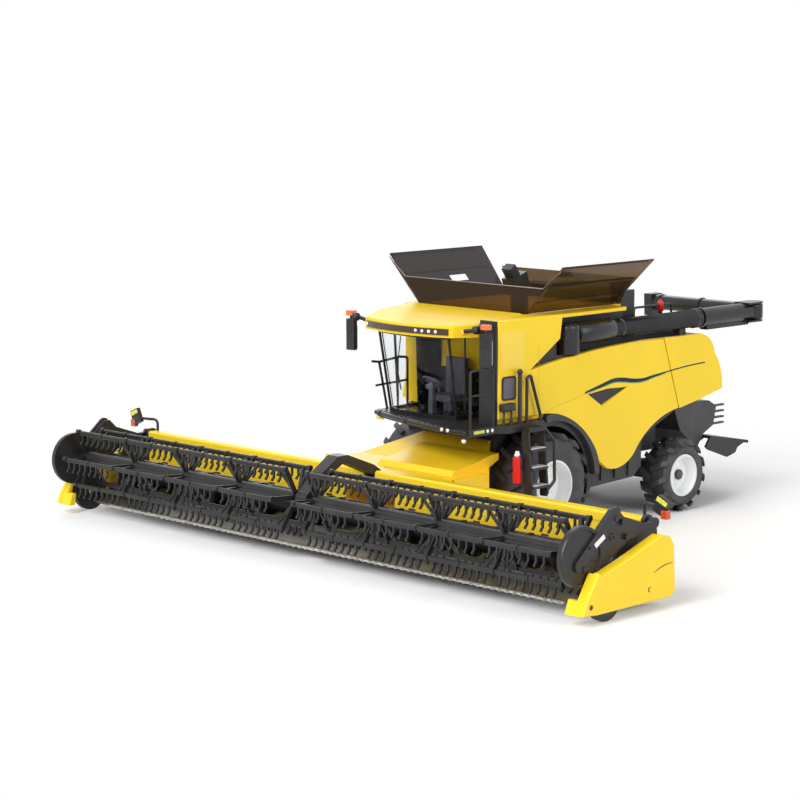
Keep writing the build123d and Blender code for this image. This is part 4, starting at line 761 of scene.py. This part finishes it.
DIVIDER_FACE = 202.0
DIVIDER_HOLES = ((-159.2, 9.6), (-116.5, 11.4))
HOLE_R = 1.3
decor = smooth_line([(-113.6, 19.2), (-106.7, 21.5), (-99.4, 22.3)], 6)
decor_width = [0.2 + 0.35 * math.sin(math.pi * k / 12) for k in range(len(decor))]
for side, tag in SIDES:
    for k, (y, z) in enumerate(DIVIDER_HOLES):
        lathe(
            f"divider_hole_{tag}_{k}", (side * (DIVIDER_FACE - 0.5), y, z), (side, 0, 0),
            [(0, HOLE_R), (0.52, HOLE_R), (0.55, HOLE_R - 0.15), (0.55, 0.0)], hollow_shade_brown, "header",
            24,
        )
    lathe(
        f"divider_plug_{tag}", (side * (DIVIDER_FACE - 0.5), -115.9, 11.3), (side, 0, 0),
        [(0, 1.1), (0.56, 1.1), (0.6, 0.9), (0.6, 0.0)], yellow, "header", 24,
    )
    band(
        f"divider_line_{tag}", side * (DIVIDER_FACE - 0.02), side * 0.07, decor, decor_width,
        hollow_shade_brown, "header",
    )

# Blank label strip on both reel arms

ARM_FACE_X = 196.0
ARM_LABEL = [(-149.2, 35.5), (-142.6, 39.4), (-143.9, 41.4), (-150.6, 37.6)]
for side, tag in SIDES:
    side_plate(
        f"arm_label_{tag}", side * ARM_FACE_X, side * 0.14, ARM_LABEL, label_white, "reel_arms",
    )

# Reel dress: collars on the bats and pairs of struts from the tube to each bat

REEL_Y = -152.3
REEL_Z = 33.0
BAT_RING_R = 17.5
BAT_COUNT = 6
BAT_PHASE = 176.0
REEL_IN = 7.5
REEL_OUT = 187.0
BAYS = 4
BAY_L = (REEL_OUT - REEL_IN) / BAYS
STRUT_SPREAD = 6.2
for side, tag in SIDES:
    struts = bmesh.new()
    sleeves = bmesh.new()
    for k in range(BAT_COUNT):
        a = math.radians(BAT_PHASE + k * 360 / BAT_COUNT)
        radial = Vector((0, math.cos(a), math.sin(a)))
        tangent = Vector((0, -math.sin(a), math.cos(a)))
        hub = Vector((0, REEL_Y, REEL_Z)) + radial * 3.2
        rim = Vector((0, REEL_Y, REEL_Z)) + radial * (BAT_RING_R - 0.6)
        for station in range(BAYS + 1):
            x = side * (REEL_IN + station * BAY_L)
            for lean in (-1, 1):
                outer_x = x + lean * STRUT_SPREAD
                if not REEL_IN < side * outer_x < REEL_OUT:
                    continue
                start = hub + Vector((x + lean * 0.6, 0, 0))
                end = rim + Vector((outer_x, 0, 0))
                prism(struts, start, end, 0.45, 0.95, tangent)
            sleeve_x = min(max(side * x, REEL_IN + 1.3), REEL_OUT - 1.3) * side
            bat = Vector((sleeve_x, REEL_Y, REEL_Z)) + radial * BAT_RING_R
            collar(sleeves, bat, 1.5, 2.4)
            if station < BAYS:
                middle = bat.copy()
                middle.x = x + side * BAY_L / 2
                collar(sleeves, middle, 1.35, 1.6)
    finish_mesh(f"reel_struts_{tag}", struts, black, "reel")
    finish_mesh(f"reel_collars_{tag}", sleeves, black, "reel")

# Bolts on the reel arms' outer faces

ARM_BOLTS = ((-137.6, 40.6), (-136.6, 38.6), (-138.9, 38.2), (-149.2, 29.5), (-153.5, 36.1))
for side, tag in SIDES:
    work = bmesh.new()
    for y, z in ARM_BOLTS:
        collar(work, (side * (ARM_FACE_X + 0.1), y, z), 0.55, 0.9, segments=6)
    finish_mesh(f"arm_bolts_{tag}", work, gloss_black, "reel_arms")

# Cab frame with slimmer posts than the CAD solid that it stands for

CAB_LOW_Z = 68.0
CAB_TOP_Z = 114.5
CAB_REAR_Y = -31.0
CAB_BOW = 4.5
CAB_WALL = 1.1
CAB_HALF_LOW = 25.6
CAB_SPREAD = 1.4
CAB_FRONT_Y = -66.0
CAB_OVERHANG = 8.0
CAB_REAR_SPREAD = 2.5


def cab_loop(z, inset):
    """The cab's outline at a height, moved inwards, in millimetres."""
    t = (z - CAB_LOW_Z) / (CAB_TOP_Z - CAB_LOW_Z)
    half = CAB_HALF_LOW + CAB_SPREAD * t - inset
    front = CAB_FRONT_Y - CAB_OVERHANG * t + inset
    rear = CAB_REAR_Y - inset
    loop = []
    for k in range(17):
        x = half * (k / 8 - 1)
        loop.append((x, front - CAB_BOW * (1 - (x / half) ** 2), z))
    return loop + [(half + CAB_REAR_SPREAD, rear, z), (-half - CAB_REAR_SPREAD, rear, z)]


def upright(half_x, low_z, high_z, y):
    """A rectangle that stands across the cab."""
    return [(-half_x, y, low_z), (half_x, y, low_z), (half_x, y, high_z), (-half_x, y, high_z)]


work = bmesh.new()
for low_z, high_z in ((CAB_LOW_Z, 70.6), (112.9, CAB_TOP_Z)):
    outer = [cab_loop(z, 0) for z in (low_z, high_z)]
    inner = [cab_loop(z, CAB_WALL) for z in (high_z, low_z)]
    hollow_ring(work, outer + inner)
REAR_WALL = (27.6, 69.0, 114.0)
REAR_WINDOW = (20.0, 91.0, 111.0)
INNER_Y = CAB_REAR_Y - CAB_WALL
hollow_ring(
    work,
    [upright(*REAR_WALL, CAB_REAR_Y), upright(*REAR_WINDOW, CAB_REAR_Y),
     upright(*REAR_WINDOW, INNER_Y), upright(*REAR_WALL, INNER_Y)],
)
FLOOR_INSET = 2.0
floor_loops = [cab_loop(CAB_LOW_Z + rise, FLOOR_INSET) for rise in (0.2, 1.2)]
lower, upper = [[work.verts.new(mm(*point)) for point in loop] for loop in floor_loops]
for k in range(len(lower)):
    n = (k + 1) % len(lower)
    work.faces.new((lower[k], lower[n], upper[n], upper[k]))
work.faces.new(lower[::-1])
work.faces.new(upper)
for side in (1, -1):
    prism(work, (side * 25.1, -65.4, 68.2), (side * 26.5, -73.4, 114.3), 0.5, 0.5, (0, 1, 0.15))
    prism(work, (side * 25.7, -59.6, 68.2), (side * 27.2, -61.4, 114.3), 0.35, 0.4, (0, 1, 0))
    prism(work, (side * 26.7, -37.0, 70.0), (side * 28.2, -37.0, 113.6), 6.0, 0.5, (0, 1, 0))
cab_posts = finish_mesh("cab_frame_posts", work, gloss_black, "chassis")
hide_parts("cab_frame")

# Painted highlights along the smoked panels' top edges: thin light grey tubes

EDGE_R = 0.32
FRONT_EDGE = [(-65.3, 149.0), (-52.6, 138.7), (52.6, 138.7), (65.3, 149.0)]
tube(
    "front_panel_edge_highlight", [(x, -27.0, z) for x, z in FRONT_EDGE], EDGE_R, edge_highlight_grey, "chassis",
)
for side, tag in SIDES:
    tube(
        f"tank_flap_edge_{tag}", [(side * 65.7, -26.0, 150.7), (side * 65.7, 50.2, 150.7)], EDGE_R,
        edge_highlight_grey, f"tank_flap_{tag}",
    )

# Lamp bracket on the middle arm's knee

lathe(
    "arm_sight_ring", (-7.6, -130.2, 52.0), (1, 0, 0),
    [(0, 2.0), (0.2, 2.3), (3.4, 2.3), (3.6, 2.0)], reflector, "reel_arms", 24,
)

# Dark plates in the trough's wall: painted shade inside its slots

WALL_Y = -106.5
FIRST_SLOT_X = 32
SLOT_STEP = 47
for side, tag in SIDES:
    for k in range(4):
        x = side * (FIRST_SLOT_X + k * SLOT_STEP)
        bevelled_box(
            f"wall_slot_{tag}_{k}", (x, WALL_Y, 25.4), (5.0, 0.3, 1.5), 0.12, hollow_shade_brown, "header",
        )

# Dark plates in the hood's slots: painted shade inside them

HOOD_SLOTS = ((0.5, -91.0), (19.5, -91.0), (44.0, -92.5))
for k, (x, y) in enumerate(HOOD_SLOTS):
    bevelled_box(
        f"hood_slot_{k}", (x, y, 41.15), (9.6, 2.2, 0.3), 0.1, hollow_shade_brown, "header"
    )

# Hub bolts on the rims

for end, hub, ring_r, bolts in (("front", FRONT_HUB, 7.2, 10), ("rear", REAR_HUB, 6.4, 8)):
    for side, tag in SIDES:
        work = bmesh.new()
        for k in range(bolts):
            angle = 2 * math.pi * k / bolts
            y = hub[1] + ring_r * math.cos(angle)
            z = hub[2] + ring_r * math.sin(angle)
            collar(work, (side * (hub[0] + 0.25), y, z), 0.6, 0.7, segments=6)
        finish_mesh(f"bolts_rim_{end}_{tag}", work, white, f"wheel_{end}_{tag}")
for side, tag in SIDES:
    lathe(
        f"hub_cap_{tag}", (side * (REAR_HUB[0] + 2.3), REAR_HUB[1], REAR_HUB[2]), (side, 0, 0),
        [(0, 2.9), (0.5, 2.9), (0.9, 2.3), (0.9, 1.0), (1.3, 0.9), (1.3, 0.0)], hub_grey,
        f"knuckle_{tag}", 24,
    )

# Engine deck: small extinguisher on its post

bevelled_box(
    "deck_bottle_post", (36.0, 94.0, 111.0), (2.0, 2.0, 12.0), 0.3, black, "chassis"
)
lathe(
    "deck_bottle", (36.0, 94.0, 116.4), (0, 0, 1),
    [(0, 0.0), (0, 1.8), (4.8, 1.8), (5.8, 1.3), (5.8, 0.8), (7.0, 0.8), (7.0, 0.0)], red,
    "chassis", 20,
)

# Sleeves on the unloading auger's inner tube

TUBE_X = 49.0
TUBE_Z = 112.0
lathe(
    "auger_elbow", (TUBE_X, 3.0, TUBE_Z), (0, 1, 0),
    [(0, 0.0), (0, 5.4), (1.0, 6.2), (30.0, 6.2), (31.0, 5.6), (31.0, 0.0)], gloss_black,
    "unload_auger", 40,
)
lathe(
    "auger_sleeve", (TUBE_X, 33.0, TUBE_Z), (0, 1, 0),
    [(0, 0.0), (0, 5.0), (74.0, 5.2), (74.0, 5.7), (75.4, 5.7), (75.4, 5.2), (77.0, 5.2),
     (77.0, 5.7), (78.4, 5.7), (78.4, 5.2), (80.0, 5.2), (80.0, 0.0)], gloss_black,
    "unload_auger", 40,
)

# Stage, lights and camera


def direct_view(tree):
    """One for camera, glossy and transmission rays, zero for all others."""
    paths = tree.nodes.new("ShaderNodeLightPath")
    total = paths.outputs["Is Camera Ray"]
    for kind in ("Is Glossy Ray", "Is Transmission Ray"):
        larger = tree.nodes.new("ShaderNodeMath")
        larger.operation = "MAXIMUM"
        tree.links.new(total, larger.inputs[0])
        tree.links.new(paths.outputs[kind], larger.inputs[1])
        total = larger.outputs[0]
    return total


FLOOR_REACH = 40.0
FADE_START = 0.16
FADE_END = 0.42
AMBIENT = 0.42
corners = [(-1, -1), (1, -1), (1, 1), (-1, 1)]
floor_mesh = bpy.data.meshes.new("floor")
floor_mesh.from_pydata([(x * FLOOR_REACH, y * FLOOR_REACH, 0) for x, y in corners], [], [(0, 1, 2, 3)])
floor = bpy.data.objects.new("floor", floor_mesh)
bpy.context.scene.collection.objects.link(floor)
floor_material = bpy.data.materials.new("floor")
floor_material.use_nodes = True
tree = floor_material.node_tree
tree.nodes.clear()
output = tree.nodes.new("ShaderNodeOutputMaterial")
diffuse = tree.nodes.new("ShaderNodeBsdfDiffuse")
diffuse.inputs["Color"].default_value = (0.93, 0.93, 0.93, 1)
distance = tree.nodes.new("ShaderNodeVectorMath")
distance.operation = "LENGTH"
tree.links.new(object_coordinates(floor_material), distance.inputs[0])
fade = tree.nodes.new("ShaderNodeMapRange")
fade.interpolation_type = "SMOOTHSTEP"
fade.inputs["From Min"].default_value = FADE_START
fade.inputs["From Max"].default_value = FADE_END
tree.links.new(distance.outputs["Value"], fade.inputs["Value"])
seen_floor = direct_view(tree)
share = tree.nodes.new("ShaderNodeMath")
share.operation = "MULTIPLY"
tree.links.new(fade.outputs["Result"], share.inputs[0])
tree.links.new(seen_floor, share.inputs[1])
blank = tree.nodes.new("ShaderNodeEmission")
blank.inputs["Color"].default_value = (1, 1, 1, 1)
blank.inputs["Strength"].default_value = 1.0
floor_mix = tree.nodes.new("ShaderNodeMixShader")
tree.links.new(share.outputs[0], floor_mix.inputs["Fac"])
tree.links.new(diffuse.outputs["BSDF"], floor_mix.inputs[1])
tree.links.new(blank.outputs["Emission"], floor_mix.inputs[2])
tree.links.new(floor_mix.outputs["Shader"], output.inputs["Surface"])
floor_mesh.materials.append(floor_material)

world = bpy.data.worlds.new("studio")
bpy.context.scene.world = world
world.use_nodes = True
tree = world.node_tree
tree.nodes.clear()
output = tree.nodes.new("ShaderNodeOutputWorld")
ambient = tree.nodes.new("ShaderNodeBackground")
ambient.inputs["Color"].default_value = (0.95, 0.97, 1.0, 1)
ambient.inputs["Strength"].default_value = AMBIENT
backdrop = tree.nodes.new("ShaderNodeBackground")
backdrop.inputs["Color"].default_value = (1, 1, 1, 1)
backdrop.inputs["Strength"].default_value = 1.0
mix = tree.nodes.new("ShaderNodeMixShader")
tree.links.new(direct_view(tree), mix.inputs["Fac"])
tree.links.new(ambient.outputs["Background"], mix.inputs[1])
tree.links.new(backdrop.outputs["Background"], mix.inputs[2])
tree.links.new(mix.outputs["Shader"], output.inputs["Surface"])


def area_light(name, position, target, size, power):
    """A round soft light: metres and watts."""
    data = bpy.data.lights.new(name, "AREA")
    data.shape = "DISK"
    data.size = size
    data.energy = power
    lamp = bpy.data.objects.new(name, data)
    bpy.context.scene.collection.objects.link(lamp)
    lamp.location = position
    lamp.rotation_euler = (Vector(target) - Vector(position)).to_track_quat("-Z", "Y").to_euler()


area_light("key", (0.35, -1.5, 0.75), (0, -0.04, 0.05), 0.9, 14)
area_light("fill", (1.5, 0.1, 0.7), (0, 0, 0.07), 1.2, 9)
area_light("front", (0.1, -1.1, 1.1), (0, -0.06, 0.03), 0.5, 9)
area_light("top", (-0.3, 0.3, 1.6), (0, 0, 0.07), 1.2, 4)
area_light("back", (-1.2, 0.9, 0.9), (0, 0, 0.07), 1.0, 6)

camera_data = bpy.data.cameras.new("camera")
camera_data.sensor_width = 36.0
camera_data.lens = 107.23
camera_data.clip_start = 0.05
camera_data.clip_end = 100
camera = bpy.data.objects.new("camera", camera_data)
bpy.context.scene.collection.objects.link(camera)
camera.location = mm(906.3, -985.3, 264.8)
aim = Vector(mm(-0.04, -83.6, 78.6))
camera.rotation_euler = (aim - camera.location).to_track_quat("-Z", "Y").to_euler()
bpy.context.scene.camera = camera
bpy.context.scene.view_settings.view_transform = "Standard"
